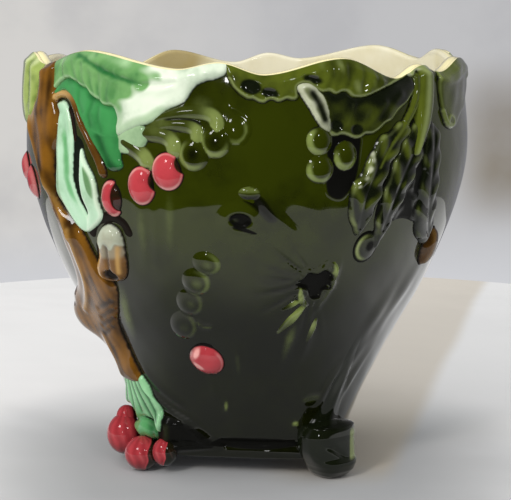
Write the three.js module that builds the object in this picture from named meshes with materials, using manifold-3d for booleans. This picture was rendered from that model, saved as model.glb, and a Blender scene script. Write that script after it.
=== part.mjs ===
// Glazed earthenware jardiniere with relief branches, leaves and cherries, on four feet.
// Millimetres, +Z up, front towards -Y. The origin is on the axis, on the ground.
// Azimuths are in degrees from the front, growing towards +X.
// The back is the front turned half round, so every ornament is made once and placed twice.

import * as THREE from 'three';
import { mergeVertices } from 'three/addons/utils/BufferGeometryUtils.js';
import Module from 'manifold-3d';

const DEGREE = Math.PI / 180;

// ---- Driving dimensions -------------------------------------------------------------------

const RIM_HEIGHT = 233; // mean height of the scalloped rim
const RIM_RADIUS = 125; // outer radius at the rim
const BELLY_HEIGHT = 186; // height of the widest ring
const BELLY_RADIUS = 128.5; // outer radius of the widest ring
const UPPER_RADIUS = 124; // outer radius above the middle of the body
const MIDDLE_RADIUS = 106.5; // outer radius at the middle of the body
const LOWER_RADIUS = 80.5; // outer radius low on the body
const BASE_RADIUS = 62; // half the width across the flats, just above the groove

const LIP_RADIUS = 60; // half the width across the flats of the lip under the body
const LIP_BOTTOM = 10; // clearance under the body, which only the feet bridge
const LIP_TOP = 16; // upper edge of the lip
const GROOVE_DEPTH = 2; // how far the groove above the lip is cut in
const GROOVE_HEIGHT = 6; // height of that groove

const WALL = 6.5; // thickness of the fired wall
const FLOOR = 7; // thickness of the floor
const RIM_ROUND = 2.2; // height over which the rim is rounded off

const CORNER_AZIMUTH = -52.5; // where the first corner of the squared base lies
const SQUARENESS = 2.2; // how far the plan at the base departs from a circle
const SQUARE_HEIGHT = 84; // height at which the plan has become a circle

const CLEARANCE = 0.35; // room between pieces that are luted together
const SPRIG_EDGE = 1.2; // thickness of a sprig at its outline
const BRANCH_RELIEF = 6.5; // how far the branch stands above its own edge
const KNOT_RADIUS = 12; // knot low on the branch
const KNOT_RELIEF = 9.5;
const LEAF_RELIEF = 2.2; // how far a leaf stands above its own edge
const FOLD_RELIEF = 1.4; // the turned-under part of a leaf
const TWIG_WIDTH = 3.4;
const TWIG_RELIEF = 1.6;
const STALK_WIDTH = 5.2; // cherry stalks
const STALK_RELIEF = 2.6;

const RED_CHERRY_RADIUS = 9.2;
const RED_CHERRY_RELIEF = 5.5;
const SIDE_CHERRY_RADIUS = 8.6;
const GREEN_CHERRY_RADIUS = 7.2;
const GREEN_CHERRY_RELIEF = 4;

const FOOT_CHERRY_RADIUS = 9.6; // the cherries that make up a cherry foot
const FOOT_CHERRY_REACH = 76; // distance of their centres from the axis
const STALKS_TOP = 52; // height at which the branch ends and the stalks begin
const STALKS_BOTTOM = 24;

const LEAF_FOOT_AZIMUTH = CORNER_AZIMUTH + 90;
const LEAF_FOOT_REACH = 75; // distance of the foot's centre from the axis
const LEAF_FOOT_WIDTH = 33; // along the wall
const LEAF_FOOT_DEPTH = 27; // away from the wall
const LEAF_FOOT_HEIGHT = 33;
const LEAF_FOOT_RIDGE_TOP = 82; // height where its ridge dies out up the corner

const SEGMENTS = 64; // facets round the wall

const OLIVE = { color: 0x2c3513, roughness: 0.12 };
const LEAF_GREEN = { color: 0x2f6b3a, roughness: 0.14 };
const MINT = { color: 0xa9d8bd, roughness: 0.14 };
const DARK_LEAF = { color: 0x3a4a1c, roughness: 0.14 };
const BROWN = { color: 0x7a4a1e, roughness: 0.16 };
const CHERRY_RED = { color: 0xa8323c, roughness: 0.1 };

// Height of the rim above or below its mean, at azimuths that repeat every half turn.
const SCALLOPS = [
  [-90, -3], [-72, 6], [-61, 0], [-42, 7.5], [-17, -1.5], [-6, 2], [4.5, -4],
  [24, 4], [38.5, -6.5], [48, 0], [57, -4], [71, 3], [90, -3],
];

// ---- The wall -----------------------------------------------------------------------------

// Smooth curve through [place, value] stations, by cubic pieces with averaged slopes.
function through(stations, place) {
  const last = stations.length - 1;
  const x = Math.min(Math.max(place, stations[0][0]), stations[last][0]);
  let k = 0;
  while (k < last - 1 && x > stations[k + 1][0]) k += 1;
  const slope = (i) => {
    const a = stations[Math.max(i - 1, 0)];
    const b = stations[Math.min(i + 1, last)];
    return (b[1] - a[1]) / (b[0] - a[0]);
  };
  const [x0, y0] = stations[k];
  const [x1, y1] = stations[k + 1];
  const width = x1 - x0;
  const t = (x - x0) / width;
  const s = 1 - t;
  return (1 + 2 * t) * s * s * y0 + t * t * (3 - 2 * t) * y1
    + width * (t * s * s * slope(k) - t * t * s * slope(k + 1));
}

const GROOVE_TOP = LIP_TOP + GROOVE_HEIGHT;
const share = (part) => GROOVE_TOP + part * (BELLY_HEIGHT - GROOVE_TOP);
const PROFILE = [
  [0, LIP_RADIUS],
  [GROOVE_TOP, BASE_RADIUS],
  [share(0.25), LOWER_RADIUS],
  [share(0.54), MIDDLE_RADIUS],
  [share(0.82), UPPER_RADIUS],
  [BELLY_HEIGHT, BELLY_RADIUS],
  [RIM_HEIGHT, RIM_RADIUS],
  [RIM_HEIGHT + 20, RIM_RADIUS],
];

// Ratio of the plan at an azimuth and height to a circle that touches its four flats.
function planFactor(azimuth, height) {
  const t = Math.min(Math.max((height - LIP_BOTTOM) / (SQUARE_HEIGHT - LIP_BOTTOM), 0), 1);
  const power = 2 + SQUARENESS * (1 - t) ** 2;
  const angle = (azimuth - CORNER_AZIMUTH + 45) * DEGREE;
  const sum = Math.abs(Math.cos(angle)) ** power + Math.abs(Math.sin(angle)) ** power;
  return sum ** (-1 / power);
}

const wallRadius = (azimuth, height) => through(PROFILE, height) * planFactor(azimuth, height);

function rimHeight(azimuth) {
  const half = 180;
  const wrapped = azimuth - half * Math.round(azimuth / half);
  return RIM_HEIGHT + through(SCALLOPS, wrapped);
}

function polar(radius, azimuth, height) {
  const angle = azimuth * DEGREE;
  return new THREE.Vector3(radius * Math.sin(angle), -radius * Math.cos(angle), height);
}

// Point of the wall's outer face, raised by lift along the face's normal.
function wallPoint(azimuth, height, lift = 0) {
  const at = (a, h) => polar(wallRadius(a, h), a, h);
  const step = 0.2;
  const around = at(azimuth + step, height).sub(at(azimuth - step, height));
  const up = at(azimuth, height + step).sub(at(azimuth, height - step));
  return at(azimuth, height).addScaledVector(around.cross(up).normalize(), lift);
}

// ---- Solids from grids of points ----------------------------------------------------------

function geometryFrom(points, triangles) {
  const positions = points.flatMap((p) => [p.x, p.y, p.z]);
  const geometry = new THREE.BufferGeometry();
  geometry.setAttribute('position', new THREE.Float32BufferAttribute(positions, 3));
  geometry.setIndex(triangles.flat());
  return geometry;
}

function volumeOf(points, triangles) {
  const sum = triangles.reduce((total, [a, b, c]) => {
    const cross = new THREE.Vector3().crossVectors(points[b], points[c]);
    return total + points[a].dot(cross);
  }, 0);
  return sum / 6;
}

function outward(points, triangles) {
  if (volumeOf(points, triangles) >= 0) return geometryFrom(points, triangles);
  return geometryFrom(points, triangles.map(([a, b, c]) => [a, c, b]));
}

// Closed rings of equal count, one above the other, capped at both ends by a centre point.
function ringSolid(rings, bottom, top) {
  const count = rings[0].length;
  const points = [...rings.flat(), bottom, top];
  const bottomIndex = points.length - 2;
  const topIndex = points.length - 1;
  const triangles = [];
  const last = (rings.length - 1) * count;
  for (let i = 0; i < count; i += 1) {
    const j = (i + 1) % count;
    for (let k = 0; k < rings.length - 1; k += 1) {
      const a = k * count;
      const b = a + count;
      triangles.push([a + i, a + j, b + j], [a + i, b + j, b + i]);
    }
    triangles.push([bottomIndex, j, i], [topIndex, last + i, last + j]);
  }
  return outward(points, triangles);
}

// Closed slab between a front and a back sheet, each a grid of rows of points.
function slab(front, back) {
  const rows = front.length;
  const columns = front[0].length;
  const points = [...front.flat(), ...back.flat()];
  const far = rows * columns;
  const triangles = [];
  const quad = (a, b, c, d) => triangles.push([a, b, c], [a, c, d]);
  for (let i = 0; i < rows - 1; i += 1) {
    for (let j = 0; j < columns - 1; j += 1) {
      const a = i * columns + j;
      quad(a, a + 1, a + columns + 1, a + columns);
      quad(far + a, far + a + columns, far + a + columns + 1, far + a + 1);
    }
  }
  const border = [];
  for (let j = 0; j < columns - 1; j += 1) border.push(j);
  for (let i = 0; i < rows - 1; i += 1) border.push(i * columns + columns - 1);
  for (let j = columns - 1; j > 0; j -= 1) border.push((rows - 1) * columns + j);
  for (let i = rows - 1; i > 0; i -= 1) border.push(i * columns);
  border.forEach((a, k) => {
    const b = border[(k + 1) % border.length];
    quad(a, far + a, far + b, b);
  });
  return outward(points, triangles);
}

// ---- Sprigs: flat-backed reliefs laid on the wall ------------------------------------------

// An edge is a list of [azimuth, height]; it becomes a smooth line sampled at count + 1 places.
function sampleEdge(edge, count) {
  const curve = new THREE.SplineCurve(edge.map(([a, h]) => new THREE.Vector2(a, h)));
  return curve.getPoints(count);
}

const domed = (across) => 1 - (2 * across - 1) ** 2;
const tapered = (along) => Math.min(1, 5 * along, 5 * (1 - along));

// Relief between two edges that run side by side. grow widens it all round, for cutting room.
// sink lets its back into the wall, where it is then cut by the wall's own facets.
function blade(left, right, { relief, along = 10, across = 3, sink = 0 }) {
  return (grow = 0) => {
    const a = sampleEdge(left, along);
    const b = sampleEdge(right, along);
    const front = [];
    const back = [];
    for (let i = 0; i <= along; i += 1) {
      const scale = new THREE.Vector2(wallRadius(a[i].x, a[i].y) * DEGREE, 1);
      const span = b[i].clone().sub(a[i]);
      const width = span.clone().multiply(scale).length();
      const extra = grow / width;
      const frontRow = [];
      const backRow = [];
      for (let j = 0; j <= across; j += 1) {
        const share01 = j / across;
        const s = share01 * (1 + 2 * extra) - extra;
        const p = a[i].clone().addScaledVector(span, s);
        const height = SPRIG_EDGE + relief * domed(share01) * tapered(i / along);
        frontRow.push(wallPoint(p.x, p.y, CLEARANCE + height + grow));
        backRow.push(wallPoint(p.x, p.y, CLEARANCE - 2 * grow - sink));
      }
      front.push(frontRow);
      back.push(backRow);
    }
    return slab(front, back);
  };
}

// The same from a centre line: [azimuth, height, width in millimetres] stations.
function ribbon(stations, options) {
  const half = stations.map(([azimuth, height, width], i) => {
    const before = stations[Math.max(i - 1, 0)];
    const after = stations[Math.min(i + 1, stations.length - 1)];
    const scale = wallRadius(azimuth, height) * DEGREE;
    const course = new THREE.Vector2((after[0] - before[0]) * scale, after[1] - before[1]);
    course.normalize();
    return [(-course.y * width) / 2 / scale, (course.x * width) / 2];
  });
  const side = (sign) => stations.map(([azimuth, height], i) => [
    azimuth + sign * half[i][0],
    height + sign * half[i][1],
  ]);
  return blade(side(1), side(-1), options);
}

const CHERRY_RINGS = [0.55, 0.85, 1];
const dome = (share01) => Math.sqrt(Math.max(0, 1 - 0.93 * share01 * share01));

// Round relief with a domed front. outline(turn) scales its radius round the centre.
function button(azimuth, height, {
  radius, relief, stretch = 1, sides = 12, outline = () => 1, steps = CHERRY_RINGS,
}) {
  return (grow = 0) => {
    const scale = wallRadius(azimuth, height) * DEGREE;
    const ring = (share01, lift) => Array.from({ length: sides }, (_, k) => {
      const turn = (k / sides) * 2 * Math.PI;
      const reach = (radius * outline(turn) + grow) * share01;
      const a = azimuth + (reach * Math.cos(turn)) / scale;
      return wallPoint(a, height + reach * stretch * Math.sin(turn), lift);
    });
    const lift = (share01) => CLEARANCE + grow + relief * dome(share01);
    const rings = [ring(1, CLEARANCE - 2 * grow)];
    [...steps].reverse().forEach((share01) => rings.push(ring(share01, lift(share01))));
    const foot = wallPoint(azimuth, height, CLEARANCE - 2 * grow);
    return ringSolid(rings, foot, wallPoint(azimuth, height, lift(0)));
  };
}

// ---- Joining and cutting ------------------------------------------------------------------

const wasm = await Module();
wasm.setup();

function toSolid(geometry) {
  const bare = geometry.clone();
  bare.deleteAttribute('normal');
  bare.deleteAttribute('uv');
  const merged = mergeVertices(bare, 1e-4);
  return new wasm.Manifold(new wasm.Mesh({
    numProp: 3,
    vertProperties: new Float32Array(merged.attributes.position.array),
    triVerts: new Uint32Array(merged.index.array),
  }));
}

function toGeometry(solid) {
  const mesh = solid.getMesh();
  const geometry = new THREE.BufferGeometry();
  const positions = new THREE.Float32BufferAttribute(mesh.vertProperties, 3);
  geometry.setAttribute('position', positions);
  geometry.setIndex(Array.from(mesh.triVerts));
  return geometry;
}

const joined = (...makers) => (grow = 0) => {
  const solids = makers.map((make) => toSolid(make(grow)));
  return toGeometry(solids.reduce((sum, solid) => sum.add(solid)));
};

function largestBody(solid) {
  const bodies = solid.decompose();
  return bodies.reduce((best, body) => (body.volume() > best.volume() ? body : best));
}

// ---- The bowl -----------------------------------------------------------------------------

const INNER_FLOOR = LIP_BOTTOM + FLOOR;
const INNER_ROUND = 10; // radius that leads the inner wall into the floor

// One ring of the bowl's outer face: inset is taken off the radius.
function outerRing(heightAt, inset) {
  return Array.from({ length: SEGMENTS }, (_, k) => {
    const azimuth = CORNER_AZIMUTH + (k * 360) / SEGMENTS;
    const height = heightAt(azimuth);
    return polar(wallRadius(azimuth, height) - inset, azimuth, height);
  });
}

const level = (height) => () => height;
const towardsRim = (part) => (azimuth) => BELLY_HEIGHT + part * (rimHeight(azimuth) - BELLY_HEIGHT);
const underRim = (drop) => (azimuth) => rimHeight(azimuth) - drop;

// Rows of facets from the groove to the widest ring, closest where the wall is hollow.
const OUTER_ROWS = [
  0, 0.05, 0.1, 0.15, 0.2, 0.25, 0.31, 0.37, 0.43, 0.49, 0.55, 0.61, 0.68, 0.75, 0.82, 0.88,
  0.94, 1,
];

function outerRings(grow = 0) {
  const edge = 1.5; // rounding of the lip's edges
  const rings = [
    outerRing(level(LIP_BOTTOM - grow), edge - grow),
    outerRing(level(LIP_BOTTOM + edge), -grow),
    outerRing(level(LIP_TOP - 1), -grow),
    outerRing(level(LIP_TOP + 1), GROOVE_DEPTH - grow),
    outerRing(level(GROOVE_TOP - 2), GROOVE_DEPTH - grow),
  ];
  OUTER_ROWS.forEach((part) => rings.push(outerRing(level(share(part)), -grow)));
  [0.25, 0.5, 0.75].forEach((part) => rings.push(outerRing(towardsRim(part), -grow)));
  rings.push(outerRing(underRim(RIM_ROUND), -grow));
  return rings;
}

function bowl() {
  const rings = outerRings();
  rings.push(outerRing(underRim(RIM_ROUND / 4), WALL / 5));
  rings.push(outerRing(underRim(0), WALL / 2));
  rings.push(outerRing(underRim(RIM_ROUND / 4), (4 * WALL) / 5));
  rings.push(outerRing(underRim(RIM_ROUND), WALL));
  rings.push(outerRing(towardsRim(0.5), WALL));
  [0.95, 0.75, 0.55, 0.33, 0.12].forEach((part) => rings.push(outerRing(level(share(part)), WALL)));
  [60, 20].forEach((turn) => {
    const inset = INNER_ROUND * (1 - Math.sin(turn * DEGREE));
    const rise = INNER_ROUND * (1 - Math.cos(turn * DEGREE));
    rings.push(outerRing(level(INNER_FLOOR + rise), WALL + inset));
  });
  rings.push(outerRing(level(INNER_FLOOR), WALL + INNER_ROUND));
  const floor = new THREE.Vector3(0, 0, INNER_FLOOR);
  return ringSolid(rings, new THREE.Vector3(0, 0, LIP_BOTTOM), floor);
}

// The bowl's outer form, full and grown by the clearance, to cut what is luted to it.
function bowlRoom() {
  const rings = outerRings(CLEARANCE);
  const top = new THREE.Vector3(0, 0, RIM_HEIGHT);
  return toSolid(ringSolid(rings, new THREE.Vector3(0, 0, LIP_BOTTOM - CLEARANCE), top));
}

// ---- Ornaments of one half ----------------------------------------------------------------

// The sprigs are drawn on a wall this high from the groove to the rim, as drops under the rim.
const DRAWN_WALL = 211;
const underRimBy = (drop) => RIM_HEIGHT - (drop * (RIM_HEIGHT - GROOVE_TOP)) / DRAWN_WALL;
const fromRim = (list) => list.map(([azimuth, drop, ...rest]) => [azimuth, underRimBy(drop), ...rest]);
const RIM_DROP = 2.4; // how far under the rim's edge a leaf ends
const atRim = (azimuths) => azimuths.map((azimuth) => [azimuth, rimHeight(azimuth) - RIM_DROP]);

// The branch runs down the corner; its edges wander, and a knot swells it low down.
function branch() {
  const left = [
    ...fromRim([
      [-65, 3], [-69, 18], [-69, 28], [-66, 38], [-62, 48], [-59, 63], [-58, 75], [-57, 88],
      [-57, 106], [-59, 121], [-63, 135], [-65, 143], [-62, 153], [-60, 165],
    ]),
    [-58, STALKS_TOP + 3],
  ];
  const right = [
    ...fromRim([
      [-55, 3], [-53, 18], [-51, 28], [-51, 38], [-53, 48], [-54, 63], [-54, 75], [-47, 88],
      [-44, 106], [-38, 121], [-44, 133], [-48, 143], [-50, 153], [-50, 165],
    ]),
    [-47, STALKS_TOP + 3],
  ];
  return joined(
    blade(left, right, { relief: BRANCH_RELIEF, along: 22, across: 4 }),
    button(-66, underRimBy(142), { radius: KNOT_RADIUS, relief: KNOT_RELIEF }),
    twig(),
  );
}

// A thin side shoot that arches over the narrow leaf.
function twig() {
  const course = fromRim([
    [-56, 20], [-52.5, 16.5], [-49.5, 15.5], [-46.5, 19], [-44.5, 25], [-41.5, 33], [-39, 40],
    [-37, 46], [-35.5, 53],
  ]);
  const stations = course.map((station) => [...station, TWIG_WIDTH]);
  return ribbon(stations, { relief: TWIG_RELIEF, along: 12, across: 2 });
}

// A short broken side shoot that points down beside the branch.
function branchStub() {
  const stations = fromRim([[-36, 82, 8], [-35, 88, 13], [-36, 97, 12], [-37, 106, 12], [-38, 115, 7]]);
  return ribbon(stations, { relief: 7.5, along: 7 });
}

function crook() {
  const left = fromRim([[-70, -5.5], [-73, 5], [-72, 16], [-69, 27]]);
  const right = fromRim([[-64, -6.5], [-61.5, 2], [-58.5, 12], [-59, 27]]);
  return blade(left, right, { relief: 3.5, along: 8 });
}

// Lower outline of the wide leaf, in front of the turned-under part.
const WIDE_LEAF_EDGE = fromRim([
  [-53, 12], [-47, 7.5], [-40, 15], [-34, 23], [-31, 35], [-26, 33], [-20, 26], [-14, 17],
  [-9, 9.5], [-4.5, 4.5],
]);

function wideLeaf() {
  const upper = atRim([-53, -47, -40, -34, -30.5, -26, -20, -14, -9, -4.5]);
  upper[0][1] -= 2;
  return blade(upper, WIDE_LEAF_EDGE, { relief: LEAF_RELIEF, along: 18, across: 3 });
}

function wideLeafFold() {
  const upper = fromRim([[-55, 15], [-50, 9], [-46, 7.5], [-42, 11], [-38, 16], [-35, 20], [-32, 24]]);
  const lower = fromRim([[-56, 19], [-51, 13], [-46.5, 15], [-43.5, 22], [-40.5, 29], [-37.5, 34], [-33, 37]]);
  const tip = fromRim([[-36, 28, 16], [-33.5, 42, 14], [-31, 55, 9]]);
  return joined(
    blade(upper, lower, { relief: FOLD_RELIEF, along: 10, across: 2 }),
    ribbon(tip, { relief: FOLD_RELIEF, along: 5, across: 2 }),
  );
}

function narrowLeaf() {
  const left = fromRim([[-52.5, 18], [-52, 34], [-53, 46], [-53.5, 58], [-54, 68], [-51, 79], [-46, 88]]);
  const right = fromRim([[-50, 19], [-46.5, 32], [-43, 44], [-40, 56], [-38, 68], [-38.5, 78], [-43, 88.5]]);
  return blade(left, right, { relief: LEAF_RELIEF, along: 11 });
}

const stalk = (course) => ribbon(
  course.map(([azimuth, height], k) => [azimuth, height, STALK_WIDTH - (k ? 0 : 1.6)]),
  { relief: STALK_RELIEF, along: 4, across: 2 },
);

function cherryStalks() {
  return joined(
    stalk(fromRim([[-30, 38], [-28, 42], [-26, 48], [-25, 53]])),
    stalk(fromRim([[-29, 36], [-25, 38], [-21, 41], [-19, 45]])),
  );
}

const RED_CHERRIES = fromRim([[-34.5, 69], [-26.2, 61.5], [-19, 53.5]]);
const SIDE_CHERRIES = fromRim([[-71, 66], [-77.5, 60]]);
const TOP_GREEN_CHERRIES = fromRim([[-12.2, 45.5], [-7.2, 38], [-2.4, 33]]);
const CLUSTER_CHERRIES = fromRim([[16.6, 38], [16.8, 51.5], [23.4, 45.5], [22.4, 60]]);
const LOW_GREEN_CHERRIES = fromRim([[-10.8, 103.5], [-13.8, 113.5], [-17, 125.5], [-20.3, 138]]);
const LOW_RED_CHERRY = [-14.6, underRimBy(161)];

const redCherry = ([azimuth, height]) => button(azimuth, height, {
  radius: RED_CHERRY_RADIUS, relief: RED_CHERRY_RELIEF, stretch: 1.08,
});
const sideCherry = ([azimuth, height]) => button(azimuth, height, {
  radius: SIDE_CHERRY_RADIUS, relief: RED_CHERRY_RELIEF, stretch: 1.1,
});
const greenCherry = ([azimuth, height]) => button(azimuth, height, {
  radius: GREEN_CHERRY_RADIUS, relief: GREEN_CHERRY_RELIEF, sides: 9, steps: [0.7, 1],
});

function topGreenCherries() {
  return joined(
    ...TOP_GREEN_CHERRIES.map(greenCherry),
    stalk(fromRim([[-22, 30], [-17, 30], [-13.5, 35], [-12.4, 42]])),
    stalk(fromRim([[-17, 24], [-12, 24.5], [-8, 29], [-7.4, 35]])),
  );
}

// The cluster hangs on a low stalk that comes out from under the dark leaf.
function cherryCluster() {
  return joined(
    ...CLUSTER_CHERRIES.map(greenCherry),
    stalk(fromRim([[19.2, 36], [19.4, 44], [20, 52], [21, 59]])),
  );
}

function lowGreenCherries() {
  return joined(...LOW_GREEN_CHERRIES.map(greenCherry));
}

// Lower outline of the dark leaf; beyond its middle the leaf is turned under.
function darkLeaf() {
  const azimuths = [-3.5, -1, 3, 8, 13, 18, 24, 30, 36, 41];
  const drops = [7, 12, 16.5, 16, 12.5, 14.5, 16.5, 16, 12.5, 9.5];
  const lower = fromRim(azimuths.map((azimuth, k) => [azimuth, drops[k]]));
  return blade(atRim(azimuths), lower, { relief: LEAF_RELIEF, along: 15 });
}

function darkLeafFold() {
  const upper = fromRim([[12.5, 14], [15, 14], [18, 16], [23, 17.5], [28, 17.5], [33, 15], [37.5, 12.5], [42, 8.5]]);
  const lower = fromRim([[12, 17], [14.5, 24], [17.5, 31], [23, 36], [28, 35.5], [33, 29.5], [37.5, 23.5], [42.5, 14]]);
  return blade(upper, lower, { relief: FOLD_RELIEF, along: 11 });
}

function trunk() {
  const stations = fromRim([[48.5, 1, 12], [48, 9, 12], [49.5, 19, 11], [51, 29, 10], [52, 40, 7]]);
  return ribbon(stations, { relief: 5, along: 10 });
}

// Leaves that hang from the trunk: azimuth, drop under the rim and width at stations.
const OUTER_HANGING_LEAF = [
  [41, 27, 8], [37.5, 36, 14], [33.5, 47, 17], [30.5, 59, 17], [28.8, 70, 12], [28.5, 79, 7],
  [29, 87, 2],
];
const INNER_HANGING_LEAVES = [
  [[43, 38, 7], [40.5, 51, 12], [39, 65, 14], [38, 78, 17], [36.8, 90, 14], [35.5, 99, 3]],
  [[45.5, 37, 7], [47, 53, 11], [48.5, 68, 15], [51, 83, 19], [54, 93, 14], [56.5, 100, 3]],
];
const hangingLeaf = (stations) => ribbon(fromRim(stations), {
  relief: LEAF_RELIEF, along: 9, across: 2,
});

function sideLeaf() {
  const left = [...atRim([57.5]), ...fromRim([[55, 9], [55.5, 18], [57.5, 27], [59.5, 34]])];
  const right = [...atRim([77]), ...fromRim([[78.5, 11], [74, 22], [67, 29], [62, 35]])];
  return blade(left, right, { relief: LEAF_RELIEF, along: 10 });
}

const knob = () => button(60, underRimBy(101), { radius: 8, relief: 7, stretch: 1.6 });

// A bud with the low leaf that droops beside it.
function bud() {
  const leaf = fromRim([[3, 61, 4], [4.5, 73, 12], [8, 87, 15], [12, 99, 11], [14.5, 107, 3]]);
  return joined(
    button(-0.8, underRimBy(78), { radius: 9, relief: 2.6, stretch: 0.62, sides: 10, steps: [0.7, 1] }),
    ribbon(leaf, { relief: 1.6, along: 8, across: 2 }),
  );
}

const PETALS = 5;
const PETAL_LENGTH = 14; // from the blossom's centre to a petal's tip

function blossom() {
  const inner = 0.5; // depth of the notch between petals, as a share of the petal's length
  const outline = (turn) => inner + (1 - inner) * Math.abs(Math.cos((PETALS * turn) / 2)) ** 1.5;
  return button(20, underRimBy(117), { radius: PETAL_LENGTH, relief: 2.6, sides: 4 * PETALS, outline, steps: [0.5, 1] });
}

// ---- Feet ---------------------------------------------------------------------------------

function sphere(radius, centre, columns = 10, rows = 8) {
  const geometry = new THREE.SphereGeometry(radius, columns, rows);
  geometry.rotateX(Math.PI / 2);
  geometry.translate(centre.x, centre.y, centre.z);
  return geometry;
}

// Cherries of one cherry foot: azimuth, distance and height of the centre, size. Behind, they lie
// closer in and past the corner, so that none shows beside the leaf foot from the front.
const FOOT_CHERRIES = {
  front: [
    { name: 'outer', azimuth: CORNER_AZIMUTH - 17, reach: 0, height: 16.5, size: 1.08 },
    { name: 'middle', azimuth: CORNER_AZIMUTH, reach: 1, height: 9.3, size: 1 },
    { name: 'inner', azimuth: CORNER_AZIMUTH + 13.5, reach: -4, height: 12, size: 0.84 },
  ],
  back: [
    { name: 'outer', azimuth: CORNER_AZIMUTH + 30, reach: -4.5, height: 16.5, size: 1.08 },
    { name: 'middle', azimuth: CORNER_AZIMUTH + 1, reach: -2, height: 9.3, size: 1 },
    { name: 'inner', azimuth: CORNER_AZIMUTH + 15, reach: -4, height: 12, size: 0.84 },
  ],
};

const footCherry = ({ azimuth, reach, height, size }) => (grow = 0) => sphere(
  FOOT_CHERRY_RADIUS * size + grow,
  polar(FOOT_CHERRY_REACH + reach, azimuth, height),
);

// Green stalks that fan out from the end of the branch to the cherries of the foot.
function footStalks() {
  const c = CORNER_AZIMUTH;
  const left = [[c - 3, STALKS_TOP], [c - 4.5, STALKS_TOP - 10], [c - 8, STALKS_BOTTOM + 8], [c - 11, STALKS_BOTTOM]];
  const right = [[c + 5, STALKS_TOP], [c + 7, STALKS_TOP - 10], [c + 10, STALKS_BOTTOM + 8], [c + 13, STALKS_BOTTOM]];
  return blade(left, right, { relief: 3.5, along: 8, sink: WALL / 3 });
}

// The leaf foot: a thick scroll under the corner, with a ridge that runs up the wall.
function leafFoot() {
  // Share of the height, width and depth at each section.
  const sections = [
    [0, 0.62, 0.62], [0.07, 0.82, 0.84], [0.3, 0.95, 0.96], [0.62, 1, 1], [0.86, 0.96, 0.95],
    [1, 0.7, 0.72],
  ];
  const sides = 12;
  const power = 3; // squareness of the foot's plan
  const block = (grow = 0) => {
    const rings = sections.map(([rise, wide, deep]) => Array.from({ length: sides }, (_, k) => {
      const turn = (k / sides) * 2 * Math.PI;
      const c = Math.cos(turn);
      const s = Math.sin(turn);
      const reach = (Math.abs(c) ** power + Math.abs(s) ** power) ** (-1 / power);
      const x = reach * c * ((LEAF_FOOT_WIDTH / 2) * wide + grow);
      const y = reach * s * ((LEAF_FOOT_DEPTH / 2) * deep + grow);
      return new THREE.Vector3(x, y - LEAF_FOOT_REACH, rise * LEAF_FOOT_HEIGHT);
    }));
    const geometry = ringSolid(
      rings,
      new THREE.Vector3(0, -LEAF_FOOT_REACH, 0),
      new THREE.Vector3(0, -LEAF_FOOT_REACH, LEAF_FOOT_HEIGHT + 0.5),
    );
    geometry.rotateZ(LEAF_FOOT_AZIMUTH * DEGREE);
    return geometry;
  };
  const a = LEAF_FOOT_AZIMUTH;
  const ridge = ribbon([
    [a, LEAF_FOOT_HEIGHT - 6, 22], [a + 1, LEAF_FOOT_HEIGHT + 4, 18], [a + 3, LEAF_FOOT_HEIGHT + 20, 11],
    [a + 6, LEAF_FOOT_RIDGE_TOP, 4],
  ], { relief: 3.4, along: 7, sink: WALL / 3 });
  return joined(block, ridge);
}

// ---- Assembly -----------------------------------------------------------------------------

// Each piece is cut by those before it, so the first ones lie on top.
const sprigs = [
  ['branch', BROWN, branch()],
  ['branch_stub', BROWN, branchStub()],
  ['crook', LEAF_GREEN, crook()],
  ['trunk', DARK_LEAF, trunk()],
  ['wide_leaf', LEAF_GREEN, wideLeaf()],
  ['wide_leaf_fold', LEAF_GREEN, wideLeafFold()],
  ...RED_CHERRIES.map((place, k) => [`red_cherry_${k + 1}`, CHERRY_RED, redCherry(place)]),
  ['red_cherry_low', CHERRY_RED, redCherry(LOW_RED_CHERRY)],
  ['side_cherries', CHERRY_RED, joined(...SIDE_CHERRIES.map(sideCherry))],
  ['narrow_leaf', MINT, narrowLeaf()],
  ['green_cherries_top', OLIVE, topGreenCherries()],
  ['cherry_stalks', OLIVE, cherryStalks()],
  ['dark_leaf', DARK_LEAF, darkLeaf()],
  ['dark_leaf_fold', DARK_LEAF, darkLeafFold()],
  ['cherry_cluster', OLIVE, cherryCluster()],
  ['green_cherries_low', OLIVE, lowGreenCherries()],
  ['side_leaf', DARK_LEAF, sideLeaf()],
  ['hanging_leaf', DARK_LEAF, hangingLeaf(OUTER_HANGING_LEAF)],
  ['hanging_leaves', DARK_LEAF, joined(...INNER_HANGING_LEAVES.map(hangingLeaf))],
  ['knob', BROWN, knob()],
  ['bud', OLIVE, bud()],
  ['blossom', OLIVE, blossom()],
];

// The pieces of the feet reach into the body's corners, so the body cuts them too.
const feet = (side) => [
  ['foot_stalks', MINT, footStalks()],
  ...FOOT_CHERRIES[side].map((cherry) => [`foot_cherry_${cherry.name}`, CHERRY_RED, footCherry(cherry)]),
  ['leaf_foot', DARK_LEAF, leafFoot()],
];

function groundBlock() {
  const size = 4 * BELLY_RADIUS;
  const block = new THREE.BoxGeometry(size, size, size);
  block.translate(0, 0, -size / 2);
  return toSolid(block);
}

function boxesMeet(a, b) {
  return [0, 1, 2].every((k) => a.min[k] <= b.max[k] && b.min[k] <= a.max[k]);
}

function cutPieces(side) {
  const room = bowlRoom().add(groundBlock());
  const above = [];
  return [...sprigs, ...feet(side)].map(([name, finish, make], k) => {
    let solid = toSolid(make());
    if (k >= sprigs.length) solid = solid.subtract(room);
    above.forEach((other) => {
      if (boxesMeet(solid.boundingBox(), other.boundingBox())) solid = solid.subtract(other);
    });
    above.push(toSolid(make(CLEARANCE)));
    return [name, finish, toGeometry(largestBody(solid))];
  });
}

function pieceMesh(name, finish, geometry) {
  const material = new THREE.MeshStandardMaterial({ ...finish, metalness: 0 });
  const mesh = new THREE.Mesh(geometry, material);
  mesh.name = name;
  return mesh;
}

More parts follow.
